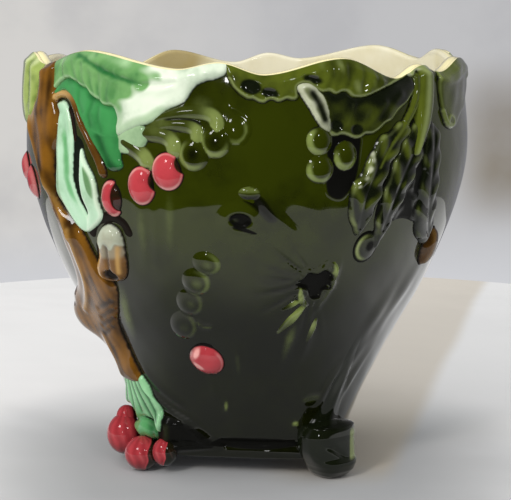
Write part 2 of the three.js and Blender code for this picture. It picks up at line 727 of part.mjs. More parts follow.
const jardiniere = new THREE.Group();
jardiniere.add(pieceMesh('bowl', OLIVE, bowl()));

['front', 'back'].forEach((side, turn) => {
  const group = new THREE.Group();
  group.rotation.z = turn * Math.PI;
  cutPieces(side).forEach(([name, finish, geometry]) => {
    group.add(pieceMesh(`${name}_${side}`, finish, geometry));
  });
  jardiniere.add(group);
});

export default jardiniere;
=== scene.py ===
import math

import bpy
import numpy as np
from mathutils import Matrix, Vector


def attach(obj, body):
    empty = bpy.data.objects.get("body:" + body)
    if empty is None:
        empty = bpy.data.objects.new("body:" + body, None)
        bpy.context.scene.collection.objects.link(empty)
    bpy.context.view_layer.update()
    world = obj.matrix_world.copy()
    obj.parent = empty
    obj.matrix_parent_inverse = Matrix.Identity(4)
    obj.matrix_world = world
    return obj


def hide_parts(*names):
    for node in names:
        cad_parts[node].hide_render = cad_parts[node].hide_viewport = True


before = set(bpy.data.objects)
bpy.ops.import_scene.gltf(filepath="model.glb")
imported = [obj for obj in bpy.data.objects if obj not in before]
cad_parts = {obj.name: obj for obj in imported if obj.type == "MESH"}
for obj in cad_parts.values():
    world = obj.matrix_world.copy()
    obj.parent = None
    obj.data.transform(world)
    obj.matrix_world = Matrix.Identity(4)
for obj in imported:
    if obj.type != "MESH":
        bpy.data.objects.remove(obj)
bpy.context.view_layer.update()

MM = 0.001
DEG = math.pi / 180

# ---- The wall of the bowl, in millimetres ----------------------------------------------------
# A place on the wall is an azimuth in degrees, from the front towards +X, and a height.

RIM_HEIGHT = 233.0
RIM_RADIUS = 125.0
BELLY_HEIGHT = 186.0
BELLY_RADIUS = 128.5
UPPER_RADIUS = 124.0
MIDDLE_RADIUS = 106.5
LOWER_RADIUS = 80.5
BASE_RADIUS = 62.0
LIP_RADIUS = 60.0
LIP_BOTTOM = 10.0
GROOVE_TOP = 22.0
WALL = 6.5
RIM_ROUND = 2.2
INNER_FLOOR = 17.0
INNER_ROUND = 10.0
CORNER = -52.5
SQUARENESS = 2.2
SQUARE_HEIGHT = 84.0


def share(part):
    return GROOVE_TOP + part * (BELLY_HEIGHT - GROOVE_TOP)


PROFILE = [
    (0, LIP_RADIUS), (GROOVE_TOP, BASE_RADIUS), (share(0.25), LOWER_RADIUS),
    (share(0.54), MIDDLE_RADIUS), (share(0.82), UPPER_RADIUS), (BELLY_HEIGHT, BELLY_RADIUS),
    (RIM_HEIGHT, RIM_RADIUS), (RIM_HEIGHT + 20, RIM_RADIUS),
]
SCALLOPS = [
    (-90, -3), (-72, 6), (-61, 0), (-42, 7.5), (-17, -1.5), (-6, 2), (4.5, -4), (24, 4), (38.5, -6.5),
    (48, 0), (57, -4), (71, 3), (90, -3),
]


def through(stations, place):
    """A smooth curve through the stations."""
    xs = np.array([s[0] for s in stations], float)
    ys = np.array([s[1] for s in stations], float)
    last = len(xs) - 1
    slopes = np.array([
        (ys[min(i + 1, last)] - ys[max(i - 1, 0)]) / (xs[min(i + 1, last)] - xs[max(i - 1, 0)])
        for i in range(last + 1)
    ])
    place = np.clip(place, xs[0], xs[-1])
    i = np.clip(np.searchsorted(xs, place, side="right") - 1, 0, last - 1)
    h = xs[i + 1] - xs[i]
    t = (place - xs[i]) / h
    return (
        (2 * t**3 - 3 * t**2 + 1) * ys[i]
        + (t**3 - 2 * t**2 + t) * h * slopes[i]
        + (3 * t**2 - 2 * t**3) * ys[i + 1]
        + (t**3 - t**2) * h * slopes[i + 1]
    )


def wall_radius(azimuth, height):
    squared = np.clip((height - LIP_BOTTOM) / (SQUARE_HEIGHT - LIP_BOTTOM), 0, 1)
    power = 2 + SQUARENESS * (1 - squared) ** 2
    turn = (np.asarray(azimuth, float) - CORNER + 45) * DEG
    plan = (np.abs(np.cos(turn)) ** power + np.abs(np.sin(turn)) ** power) ** (-1 / power)
    return through(PROFILE, height) * plan


def rim_height(azimuth):
    azimuth = np.asarray(azimuth, float)
    return RIM_HEIGHT + through(SCALLOPS, azimuth - 180 * np.round(azimuth / 180))


def polar(radius, azimuth, height):
    turn = np.asarray(azimuth, float) * DEG
    return np.stack([radius * np.sin(turn), -radius * np.cos(turn), height + 0 * turn], -1)


def wall_point(azimuth, height, lift):
    """Points of the wall's outer face, raised along its normal."""
    step = 0.2

    def at(a, h):
        return polar(wall_radius(a, h), a, h)

    around = at(azimuth + step, height) - at(azimuth - step, height)
    up = at(azimuth, height + step) - at(azimuth, height - step)
    normal = np.cross(around, up)
    normal /= np.linalg.norm(normal, axis=1)[:, None]
    return at(azimuth, height) + normal * np.asarray(lift)[:, None]


def over_rim(azimuth, height):
    """Heights kept under the rim, and how far its rounded edge draws in at each."""
    top = rim_height(azimuth)
    height = np.minimum(height, top - 0.6)
    turn = np.arcsin(np.clip(1 - (top - height) / RIM_ROUND, 0, 1))
    return height, WALL / 2 * (1 - np.cos(turn))


# ---- Curves and soft steps -------------------------------------------------------------------


def ease(t):
    t = np.clip(t, 0, 1)
    return t * t * (3 - 2 * t)


def shoulder(depth, width):
    """Rises like a quarter circle over the width."""
    t = np.clip(depth / width, 0, 1)
    return np.sqrt(1 - (1 - t) ** 2)


def crest(distance, width):
    return np.exp(-((distance / width) ** 2))


def ripple(x, y, size, seed=0.0):
    """Gentle irregular waves between -1 and 1."""
    total = 0
    for k in range(5):
        turn = seed * 1.7 + k * 2.399
        pitch = 2 * math.pi / (size * (0.7 + 0.17 * k))
        total = total + np.sin(pitch * (x * math.cos(turn) + y * math.sin(turn)) + seed * (k + 1) * 3.1)
    return total / 3.2


def drawn(points, smooth=6, closed=False):
    """A smooth line through the points."""
    p = np.array(points, float)
    if smooth < 2:
        return np.vstack([p, p[:1]]) if closed else p
    n = len(p)
    out = []
    for i in range(n if closed else n - 1):
        if closed:
            a, b, c, d = p[(i - 1) % n], p[i], p[(i + 1) % n], p[(i + 2) % n]
        else:
            a, b, c, d = p[max(i - 1, 0)], p[i], p[i + 1], p[min(i + 2, n - 1)]
        for t in np.arange(smooth) / smooth:
            bend, twist = 2 * a - 5 * b + 4 * c - d, 3 * b - a - 3 * c + d
            out.append(0.5 * (2 * b + (c - a) * t + bend * t * t + twist * t**3))
    out.append(p[0] if closed else p[-1])
    return np.array(out)


# ---- Sketches: reliefs drawn on a patch of the wall --------------------------------------------

MARKS = ("pale", "tint", "deep", "pool")


class Sketch:
    """Heights and glaze marks over a patch of the wall. Distances are millimetres."""

    def __init__(self, azimuth, height, middle):
        self.azimuth, self.middle = azimuth, middle
        self.x = (azimuth - middle) * DEG * wall_radius(azimuth, height)
        self.y = np.asarray(height, float)
        self.lift = np.full(len(self.x), -3.0)
        self.depth = np.full(len(self.x), -9.0)
        self.marks = {k: np.zeros(len(self.x)) for k in MARKS}

    def flat(self, points):
        p = np.array(points, float)
        return np.stack([(p[:, 0] - self.middle) * DEG * wall_radius(p[:, 0], p[:, 1]), p[:, 1]], 1)

    def line(self, points, smooth=6, reach=16.0):
        """Distance to a line, how far along it, and the side: 1 on its left."""
        p = drawn(self.flat(points), smooth)
        low, high = p.min(0) - reach, p.max(0) + reach
        near = (self.x > low[0]) & (self.x < high[0]) & (self.y > low[1]) & (self.y < high[1])
        x, y = self.x[near], self.y[near]
        best, along, side = np.full(len(x), 1e3), np.zeros(len(x)), np.zeros(len(x))
        for i in range(len(p) - 1):
            (ax, ay), (bx, by) = p[i], p[i + 1]
            dx, dy = bx - ax, by - ay
            t = np.clip(((x - ax) * dx + (y - ay) * dy) / (dx * dx + dy * dy + 1e-12), 0, 1)
            d = np.hypot(x - ax - t * dx, y - ay - t * dy)
            nearer = d < best
            best = np.where(nearer, d, best)
            along = np.where(nearer, (i + t) / (len(p) - 1), along)
            side = np.where(nearer, np.sign(dx * (y - ay) - dy * (x - ax)), side)
        out = [np.full(len(self.x), 1e3), np.zeros(len(self.x)), np.zeros(len(self.x))]
        for whole, part in zip(out, (best, along, side)):
            whole[near] = part
        return out

    def outline(self, points, smooth=5):
        """Depth inside a closed outline, negative outside it."""
        p = drawn(self.flat(points), smooth, closed=True)
        best = np.full(len(self.x), 1e9)
        inside = np.zeros(len(self.x), bool)
        for i in range(len(p) - 1):
            (ax, ay), (bx, by) = p[i], p[i + 1]
            dx, dy = bx - ax, by - ay
            t = np.clip(((self.x - ax) * dx + (self.y - ay) * dy) / (dx * dx + dy * dy + 1e-12), 0, 1)
            best = np.minimum(best, np.hypot(self.x - ax - t * dx, self.y - ay - t * dy))
            if ay != by:
                crosses = (ay > self.y) != (by > self.y)
                inside ^= crosses & (self.x < ax + (self.y - ay) / dy * dx)
        return np.where(inside, best, -best)

    def oval(self, centre, wide, high, tilt=0.0):
        """Share of the way from the centre to the edge, depth inside, and the two directions."""
        cx, cy = self.flat([centre])[0]
        c, s = math.cos(tilt * DEG), math.sin(tilt * DEG)
        u = ((self.x - cx) * c + (self.y - cy) * s) / wide
        v = (-(self.x - cx) * s + (self.y - cy) * c) / high
        out = np.hypot(u, v)
        return out, (1 - out) * min(wide, high), u, v

    def lay(self, depth, height, fall=0.7, base=0.3, **marks):
        """Lays one more form on the patch: the higher one shows."""
        lift = np.where(depth > 0, height, base + fall * depth)
        over = lift > self.lift
        self.lift = np.where(over, lift, self.lift)
        self.depth = np.maximum(self.depth, depth)
        for k in MARKS:
            self.marks[k] = np.where(over, marks.get(k, 0.0), self.marks[k])

    def stain(self, name, amount):
        self.marks[name] = np.clip(np.maximum(self.marks[name], amount), 0, 1)

    def settle(self, low=0.3, high=1.1):
        """Dark glaze gathers in the hollow round each form."""
        self.stain("pool", 1 - ease((self.lift - low) / (high - low)))


# ---- Meshes ----------------------------------------------------------------------------------

SEAT = -1.4  # how far the back of a relief lies below the wall's face


def read(mesh):
    co = np.zeros(len(mesh.vertices) * 3)
    mesh.vertices.foreach_get("co", co)
    return co.reshape(-1, 3)


def write(mesh, co):
    mesh.vertices.foreach_set("co", np.asarray(co, float).ravel())
    mesh.update()


def start():
    if bpy.context.object and bpy.context.object.mode != "OBJECT":
        bpy.ops.object.mode_set(mode="OBJECT")
    bpy.ops.object.select_all(action="DESELECT")


def clay(name, columns, rows):
    """A flat grid from 0 to 1 both ways, to be shaped."""
    start()
    bpy.ops.mesh.primitive_grid_add(x_subdivisions=columns, y_subdivisions=rows, size=2)
    piece = bpy.context.object
    piece.name = piece.data.name = name
    co = read(piece.data)
    co[:, :2] = (co[:, :2] + 1) / 2
    write(piece.data, co)
    return piece


def mark(mesh, name, values):
    attribute = mesh.attributes.get(name) or mesh.attributes.new(name, "FLOAT", "POINT")
    attribute.data.foreach_set("value", np.clip(values, 0, 1).astype(np.float32))


def place(piece, finish, slot, nodes):
    """The piece is done: its finish, its body and the CAD nodes that it stands for."""
    start()
    piece.select_set(True)
    bpy.context.view_layer.objects.active = piece
    bpy.ops.object.shade_smooth()
    piece.data.materials.clear()
    piece.data.materials.append(finish)
    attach(piece, "root")
    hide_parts(*nodes)
    return piece


def turned_copy(piece, name):
    """The same piece on the other half of the bowl."""
    copy = piece.copy()
    copy.data = piece.data.copy()
    copy.name = copy.data.name = name
    bpy.context.scene.collection.objects.link(copy)
    co = read(copy.data)
    co[:, :2] *= -1
    write(copy.data, co)
    return copy


def both_halves(piece, base, finish, slot):
    """The piece for the front, and the same one turned half round for the back."""
    piece.name = piece.data.name = base + "_front_clay"
    back = turned_copy(piece, base + "_back_clay")
    place(piece, finish, slot, [base + "_front"])
    place(back, finish, slot, [base + "_back"])


def softened(values, row, column, times):
    """Values on a grid, averaged with their neighbours."""
    grid = np.zeros((row.max() + 1, column.max() + 1))
    grid[row, column] = values
    for _ in range(times):
        wide = np.pad(grid, 1, mode="edge")
        wide = (wide[:-2] + 2 * wide[1:-1] + wide[2:]) / 4
        grid = (wide[:, :-2] + 2 * wide[:, 1:-1] + wide[:, 2:]) / 4
    return grid[row, column]


def closed_sheet(mesh, outside):
    """Drops the faces whose points all lie outside and gives the rest a back; returns which points
    are the front."""
    mesh.vertices.foreach_set("select", np.zeros(len(mesh.vertices), bool))
    mesh.edges.foreach_set("select", np.zeros(len(mesh.edges), bool))
    corners = np.zeros(len(mesh.polygons) * 4, int)
    mesh.polygons.foreach_get("vertices", corners)
    mesh.polygons.foreach_set("select", outside[corners.reshape(-1, 4)].all(1))
    bpy.context.tool_settings.mesh_select_mode = (False, False, True)
    bpy.ops.object.mode_set(mode="EDIT")
    bpy.ops.mesh.delete(type="FACE")
    bpy.ops.mesh.select_all(action="SELECT")
    bpy.ops.mesh.extrude_region()
    bpy.ops.object.mode_set(mode="OBJECT")
    front = np.zeros(len(mesh.vertices), bool)
    mesh.vertices.foreach_get("select", front)
    return front


def face_outward():
    """Turns the faces of the active piece outward."""
    bpy.ops.object.mode_set(mode="EDIT")
    bpy.ops.mesh.select_all(action="SELECT")
    bpy.ops.mesh.normals_make_consistent(inside=False)
    bpy.ops.object.mode_set(mode="OBJECT")


def pressed(name, span, draw, cell, flange=1.8, merge=False):
    """A relief pressed on the wall: draw shapes a Sketch over the span of the patch.

    A span without a top runs up to the rim. One that merges shares the wall's own glaze."""
    left, right, low, high = span
    middle = (left + right) / 2
    reach = float(wall_radius(middle, (low + (high or RIM_HEIGHT)) / 2)) * DEG
    columns = max(3, round((right - left) * reach / cell))
    rows = max(3, round(((high or RIM_HEIGHT + 4) - low) / cell))
    piece = clay(name, columns, rows)
    mesh = piece.data
    co = read(mesh)
    column = np.rint(co[:, 0] * columns).astype(int)
    row = np.rint(co[:, 1] * rows).astype(int)
    azimuth = left + co[:, 0] * (right - left)
    top = rim_height(azimuth) - 0.35 if high is None else high
    co[:, 0], co[:, 1] = azimuth, low + co[:, 1] * (top - low)
    write(mesh, co)
    sketch = Sketch(co[:, 0], co[:, 1], middle)
    draw(sketch)
    near_rim = ease((rim_height(azimuth) - co[:, 1] - 1.0) / 4.5)
    flatter = 0.3 + (sketch.lift - 0.3) * (0.25 + 0.75 * near_rim)
    lift = np.where(sketch.lift > 0.3, flatter, sketch.lift)
    up, *glazed = ground(co[:, 0], co[:, 1])
    lift = softened(lift, row, column, 2) + up
    if merge:
        for k, values in zip(("pale", "deep", "pool"), glazed):
            sketch.stain(k, values)
    edge = ease((co[:, 1] - rim_height(azimuth) + 1.15) / 0.7)
    sketch.marks["pool"] = sketch.marks["pool"] * (1 - edge)
    fields = {"lift": lift, "edge": edge}
    for k in MARKS:
        fields[k] = softened(np.clip(sketch.marks[k], 0, 1), row, column, 1)
    for k, values in fields.items():
        mesh.attributes.new(k, "FLOAT", "POINT").data.foreach_set("value", values.astype(np.float32))
    front = closed_sheet(mesh, sketch.depth < -flange)
    co = read(mesh)
    lift = np.zeros(len(co), np.float32)
    mesh.attributes["lift"].data.foreach_get("value", lift)
    mesh.attributes.remove(mesh.attributes["lift"])
    height, inset = over_rim(co[:, 0], co[:, 1])
    lift = np.where(front, np.maximum(lift, SEAT + 0.4), SEAT) - inset
    write(mesh, wall_point(co[:, 0], height, lift) * MM)
    face_outward()
    return piece


def relief(name, span, draw, cell, finish, slot, **options):
    both_halves(pressed(name, span, draw, cell, **options), name, finish, slot)


# ---- Finishes --------------------------------------------------------------------------------


def colour(code):
    """Linear colour from the usual six digits."""
    parts = [int(code[i:i + 2], 16) / 255 for i in (0, 2, 4)]
    return tuple(c / 12.92 if c <= 0.04045 else ((c + 0.055) / 1.055) ** 2.4 for c in parts) + (1.0,)


class Term:
    """A node's output that takes part in sums."""

    def __init__(self, finish, socket):
        self.finish, self.socket = finish, socket

    def reckon(self, operation, a, b):
        return self.finish.node("ShaderNodeMath", {"operation": operation}, {0: a, 1: b})

    def __add__(self, other):
        return self.reckon("ADD", self, other)

    def __radd__(self, other):
        return self.reckon("ADD", other, self)

    def __sub__(self, other):
        return self.reckon("SUBTRACT", self, other)

    def __rsub__(self, other):
        return self.reckon("SUBTRACT", other, self)

    def __mul__(self, other):
        return self.reckon("MULTIPLY", self, other)

    def __rmul__(self, other):
        return self.reckon("MULTIPLY", other, self)

    def __pow__(self, other):
        return self.reckon("POWER", self, other)


class Finish:
    """A material under construction."""

    def __init__(self, name, holder=None):
        self.material = holder or bpy.data.materials.new(name)
        self.material.use_nodes = True
        self.tree = self.material.node_tree
        self.tree.nodes.clear()

    def node(self, kind, settings=None, inputs=None, output=0):
        made = self.tree.nodes.new(kind)
        for key, value in (settings or {}).items():
            setattr(made, key, value)
        for key, value in (inputs or {}).items():
            if isinstance(value, Term):
                self.tree.links.new(value.socket, made.inputs[key])
            else:
                made.inputs[key].default_value = value
        return Term(self, made.outputs[output])

    def place(self):
        return self.node("ShaderNodeTexCoord", output=3)

    def attribute(self, name):
        return self.node("ShaderNodeAttribute", {"attribute_name": name}, output=2)

    def noise(self, scale, detail=3.0, roughness=0.5, vector=None):
        return self.node("ShaderNodeTexNoise", {}, {
            "Vector": vector or self.place(), "Scale": scale, "Detail": detail, "Roughness": roughness,
        })

    def between(self, value, low, high):
        return self.node("ShaderNodeMapRange", {"interpolation_type": "SMOOTHSTEP"}, {
            "Value": value, "From Min": low, "From Max": high,
        })

    def mix(self, part, first, second):
        return self.node("ShaderNodeMix", {"data_type": "RGBA"}, {0: part, 6: first, 7: second}, output=2)

    def surface(self, **inputs):
        shader = self.tree.nodes.new("ShaderNodeBsdfPrincipled")
        for key, value in inputs.items():
            socket = shader.inputs[key.replace("_", " ")]
            if isinstance(value, Term):
                self.tree.links.new(value.socket, socket)
            else:
                socket.default_value = value
        out = self.tree.nodes.new("ShaderNodeOutputMaterial")
        self.tree.links.new(shader.outputs[0], out.inputs[0])
        return self.material


def glaze(name, first, second, deep, pale, pooled, mottle=0.35, ripples=0.12, painted_low_shade=False, inside=False):
    """Lead glaze over a white body: it pales on raised edges and darkens where it gathers.

    Its pale and pooled marks also carry painted highlights and painted shade. Low on the wall it can be
    darkened as painted shade; inside is the cream glaze within the rim."""
    f = Finish(name)
    broad = f.noise(38.0, 4.0, 0.55)
    fine = f.noise(260.0, 3.0, 0.6)
    up = f.node("ShaderNodeSeparateXYZ", {}, {0: f.place()}, output=2)
    tinted = f.between(f.attribute("tint") + 0.3 * (broad - 0.5), 0.25, 0.75)
    body = f.mix(tinted, colour(first), colour(second))
    body = f.mix(0.55 * f.between(broad, 0.42, 0.75), body, colour(deep))
    thick = f.attribute("deep") + mottle * (broad - 0.5) + 0.2 * (fine - 0.5)
    # painted shade: darker low on the wall
    if painted_low_shade:
        thick = thick + 0.85 * f.between(up + 0.02 * (broad - 0.5), 0.175, 0.085)
    body = f.mix(f.between(thick, 0.0, 1.0), body, colour(deep))
    # the pale mark is thin glaze and also painted highlights and painted reflections
    thin = f.between(f.attribute("pale") + 0.3 * (broad - 0.5) + 0.15 * (fine - 0.5), 0.12, 0.95)
    body = f.mix(thin, body, colour(pale))
    # the pooled mark is gathered glaze and also painted shade
    pool = f.attribute("pool")
    gathered = f.between(pool + 0.12 * (fine - 0.5), 0.25, 0.9)
    body = f.mix(gathered, body, colour(pooled))
    if inside:
        cream = f.mix(f.between(broad, 0.35, 0.75), colour("d9d5c0"), colour("cbc4a4"))
        ochre = f.between(f.noise(9.0, 3.0, 0.5), 0.5, 0.68)
        cream = f.mix(0.75 * ochre, cream, colour("8f7a3a"))
        body = f.mix(f.between(f.attribute("inside") + 0.12 * (fine - 0.5), 0.4, 0.6), body, cream)
    body = f.mix(f.between(f.attribute("edge") + 0.5 * (broad - 0.5), 0.45, 0.85), body, colour("e8dfb0"))
    wave = f.noise(85.0, 2.0, 0.45)
    bump = f.node("ShaderNodeBump", {}, {"Strength": ripples, "Distance": 0.0012, "Height": wave})
    return f.surface(
        Base_Color=body, Roughness=0.08 + 0.5 * gathered, IOR=1.24, Coat_Weight=1.0 - 0.95 * gathered,
        Coat_Roughness=0.03, Coat_IOR=1.37, Normal=bump,
    )


OLIVE_TONES = ("282f04", "59632a", "0b0d03", "6d7a42", "040401", 0.5, 0.12, True)
OLIVE = glaze("olive_glaze", *OLIVE_TONES)
BOWL_GLAZE = glaze("bowl_glaze", *OLIVE_TONES, inside=True)
LEAF_GREEN = glaze("leaf_green_glaze", "66945a", "cfdac8", "226030", "b3d3a8", "0c150b", 0.6)
FOLD_GREEN = glaze("fold_green_glaze", "3a8449", "9db992", "154522", "6fae78", "08120a", 0.5)
MINT = glaze("mint_glaze", "a9cdb0", "4f9c5b", "3a6f33", "c9dcc6", "0c120a", 0.35)
STALK_GREEN = glaze("stalk_glaze", "83bb8b", "4f9159", "1f4c2a", "b8d8b4", "0c120a", 0.3)
CROOK_GREEN = glaze("crook_glaze", "8d9f55", "b9c48a", "566c2c", "bcc795", "20240c", 0.5)
DARK_LEAF = glaze("dark_leaf_glaze", "4b5518", "b0b59c", "10140a", "7c8754", "050602", 0.65, 0.12, True)
BROWN = glaze("brown_glaze", "744e18", "a9b3a2", "2b1b0b", "b28c4e", "120b05", 0.6)
CHERRY_RED = glaze("cherry_red_glaze", "a93a41", "12160a", "6d1c22", "d0938f", "0a0503", 0.45, 0.06)


def soft_relief(name, span, draw):
    """A low relief that melts into the wall and has its glaze."""
    relief(name, span, draw, 0.5, OLIVE, "olive_glaze", flange=1.2, merge=True)


def dark_relief(name, span, draw, cell=0.55):
    relief(name, span, draw, cell, DARK_LEAF, "dark_leaf_glaze")


# ---- The bowl --------------------------------------------------------------------------------

BLOSSOM = (19.8, 118.0)
HEART = [
    (13.2, 118.6), (15.6, 121.4), (17.0, 124.8), (19.6, 123.9), (21.8, 125.8), (24.4, 122.2), (24.0, 118.6),
    (24.5, 115.0), (22.2, 113.6), (21.6, 109.6), (18.7, 109.4), (17.2, 114.8), (15.0, 116.4),
]
EYE = (-1.3, 154.2)


def round_blossom(s):
    """Distance from the blossom's middle, and the direction."""
    cx, cy = s.flat([BLOSSOM])[0]
    dx, dy = s.x - cx, s.y - cy
    return np.hypot(dx, dy), np.arctan2(dy, dx)


def ground(azimuth, height):
    """Soft forms that the mould gave the wall itself: height, pale, deep and pooled glaze."""
    half = azimuth - 180 * np.round(azimuth / 180)
    s = Sketch(half, height, 0.0)
    up = ripple(s.x, s.y, 46, 1.3) * 0.28 + ripple(s.x, s.y, 19, 4.1) * 0.07
    pale, deep, pool = np.zeros(len(half)), np.zeros(len(half)), np.zeros(len(half))

    def ridge(points, width, rise, thin=0.0, dark=0.0, ends=5.0):
        nonlocal up, pale, deep
        d, along, _ = s.line(points, reach=4 * width + 2)
        fade = ease(ends * along) * ease(ends * (1 - along))
        body = crest(d, width) * fade
        up = up + rise * body
        pale = np.maximum(pale, thin * body)
        deep = np.maximum(deep, dark * body)

    # flutes that hang below the red cherries and low on the wall
    ridge([(-25.4, 169), (-26.7, 149), (-28.6, 118)], 3.8, 0.5, 0.34, ends=2)
    ridge([(-21.3, 168), (-22.9, 149.6), (-25.2, 120)], 2.6, 0.4, 0.2, ends=2)
    ridge([(-17.6, 176), (-18.6, 154.8), (-20.6, 124)], 3.8, 0.5, 0.4, ends=2)
    ridge([(-38.6, 122), (-41.4, 98), (-45.4, 70)], 5.0, 0.5, 0.5, ends=2)
    ridge([(16.6, 103), (15.2, 91.5), (14.1, 79.8), (12.2, 58)], 3.0, 0.8, 0.42, ends=1.8)
    ridge([(21.6, 96), (21.0, 82), (19.0, 66)], 2.6, 0.6, 0.12, ends=2)
    ridge([(-3.4, 84), (-3.2, 71), (-2.4, 52)], 2.2, 0.4, 0.26, ends=2)
    ridge([(5.0, 62), (5.2, 54), (5.0, 45)], 2.4, 0.4, 0.14, ends=2)
    ridge([(-8.8, 48.5), (-9.2, 43), (-9.8, 37.5)], 1.3, 0.9, 0.7, ends=2)
    ridge([(-13.5, 64), (-13.9, 55), (-14.4, 45)], 2.0, 0.4, 0.2, ends=2)
    ridge([(-15.8, 97), (-14.8, 94.2), (-13.0, 92.8), (-10.0, 92.9)], 1.0, 0.7, 0.35)
    # thinner glaze round the cherry stalks
    for centre, wide, high, thin in (
        ((-19.5, 201), 17, 11, 0.38), ((-10, 214), 12, 8, 0.3), ((-36, 178), 9, 12, 0.25),
    ):
        _, inside, _, _ = s.oval(centre, wide, high, -12)
        pale = np.maximum(pale, thin * ease(inside / 8))
    # the slanting folds beside the bud
    ridge([(3.0, 165), (7.9, 154.6), (13.9, 143.4), (20.4, 131.0)], 4.0, 0.3, 0.06, ends=2)
    ridge([(-0.6, 152), (6.0, 143), (12.5, 133.0)], 4.2, 0.5)
    ridge([(10.5, 170), (15.0, 160), (20.5, 147)], 6.0, 0.4)
    # curved lines right of the blossom and over the leaf foot
    ridge([(25.4, 133), (25.4, 124), (23.8, 112), (19.4, 96)], 1.3, 1.1, 0.35, ends=3)
    ridge([(64.0, 136), (58.0, 112), (54.0, 94.4), (52.1, 70.0)], 5.0, 1.3, 0.05, ends=2)
    ridge([(52.0, 120), (49.0, 103), (46.4, 88), (44.6, 70)], 4.4, 1.1, 0.05, ends=2)
    ridge([(57.0, 76), (51.0, 61.5), (46.0, 52), (43.0, 44), (42.2, 34)], 2.2, 1.2, 0.1, ends=2)
    ridge([(51.0, 82), (45.0, 66), (40.0, 53), (38.0, 41), (38.0, 34)], 2.4, 1.1, 0.05, ends=2)
    ridge([(42.0, 72), (36.0, 58), (32.4, 46), (31.6, 36)], 2.4, 1.0, 0.0, ends=3)
    _, inside, _, _ = s.oval((27.6, 47.0), 8.4, 3.6, 8)
    up = up + 0.7 * ease(inside / 2.5)
    pale = np.maximum(pale, 0.26 * ease(inside / 2.5 + 0.2))
    ridge([(20.5, 30.5), (22.5, 32.5), (23.4, 29.5)], 1.4, 1.0, 0.9, ends=3)
    # folds right of the foot's stalks, and the wing that lies over the groove, painted near black as shade
    ridge([(-48.6, 57), (-44.6, 49.6), (-39.6, 42.4), (-34.2, 37.4), (-29.0, 33.6), (-22, 28)],
          1.3, 1.3, 0.12, 0.2)
    ridge([(-46.4, 64), (-41.0, 54.4), (-34.4, 46.6), (-27.0, 40.0)], 1.6, 0.7, 0.05, 0.2)
    wing = s.outline([
        (-43.5, 34), (-37.0, 37.5), (-30.0, 34.0), (-24.0, 29.4), (-18.0, 23.4), (-12.0, 19.0),
        (-13.0, 15.2), (-22.4, 13.6), (-32.5, 12.0), (-43.0, 11.0),
    ])
    over = ease(wing / 7.0 + 0.15)
    up = up + 5.2 * over
    # painted shade: the wing is painted near black
    deep = np.maximum(deep, 1.6 * ease(wing / 4.0 + 0.2))
    pool = np.maximum(pool, 0.8 * ease(wing / 3.0) * ease((-15.5 - half) / 4))
    _, inner, _, _ = s.oval((-29.5, 24.6), 8.8, 7.2, -32)
    up = up - 1.4 * ease(inner / 4)
    ridge([(-36.9, 33.5), (-37.6, 29), (-38.2, 24.8), (-39.6, 19), (-40.8, 15.0)], 2.3, 1.8, 0.8, ends=6)
    deep = deep * (1 - crest(s.line([(-36.9, 33.5), (-38.2, 24.8), (-40.8, 15.0)])[0], 2.0))
    # painted shadow fills the groove over the lip between the feet, and the lip below it is darker towards
    # the bottom
    lens = 4.4 * np.sqrt(np.clip(1 - ((half - 4.0) / 25.0) ** 2, 0, 1))
    pool = np.maximum(pool, ease((lens - np.abs(s.y - 19.2)) / 1.6) * ease(lens / 2))
    deep = np.maximum(deep, ease((15.2 - s.y) / 1.5))
    # the hollows of the bud's eye and of the blossom's heart
    _, eye, _, _ = s.oval(EYE, 6.2, 4.2, -8)
    up = up - 1.5 * ease(eye / 2.4)
    up = up - 1.7 * ease((s.outline(HEART, 4) + 0.4) / 2.8) * (np.abs(half - 19) < 12)
    # fine ribs that fan out from the blossom
    away, turn = round_blossom(s)
    fan = ease((away - 9) / 5) * (1 - ease((away - 14) / 26)) * ease((-np.cos(turn - 0.35) + 0.1) * 2.2)
    ribs = np.cos(turn * 22 + 0.7 * np.sin(away / 6)) * 0.5 + np.cos(turn * 37 + 1.0) * 0.3
    up = up + 0.5 * fan * ribs
    deep = np.maximum(deep, 0.5 * fan * np.maximum(-ribs, 0))
    seam = ease((90 - np.abs(half)) / 10)
    fade = seam * ease((rim_height(azimuth) - height - 2) / 8) * ease((height - 10.4) / 3)
    return up * fade, pale * seam, deep * seam, pool * seam


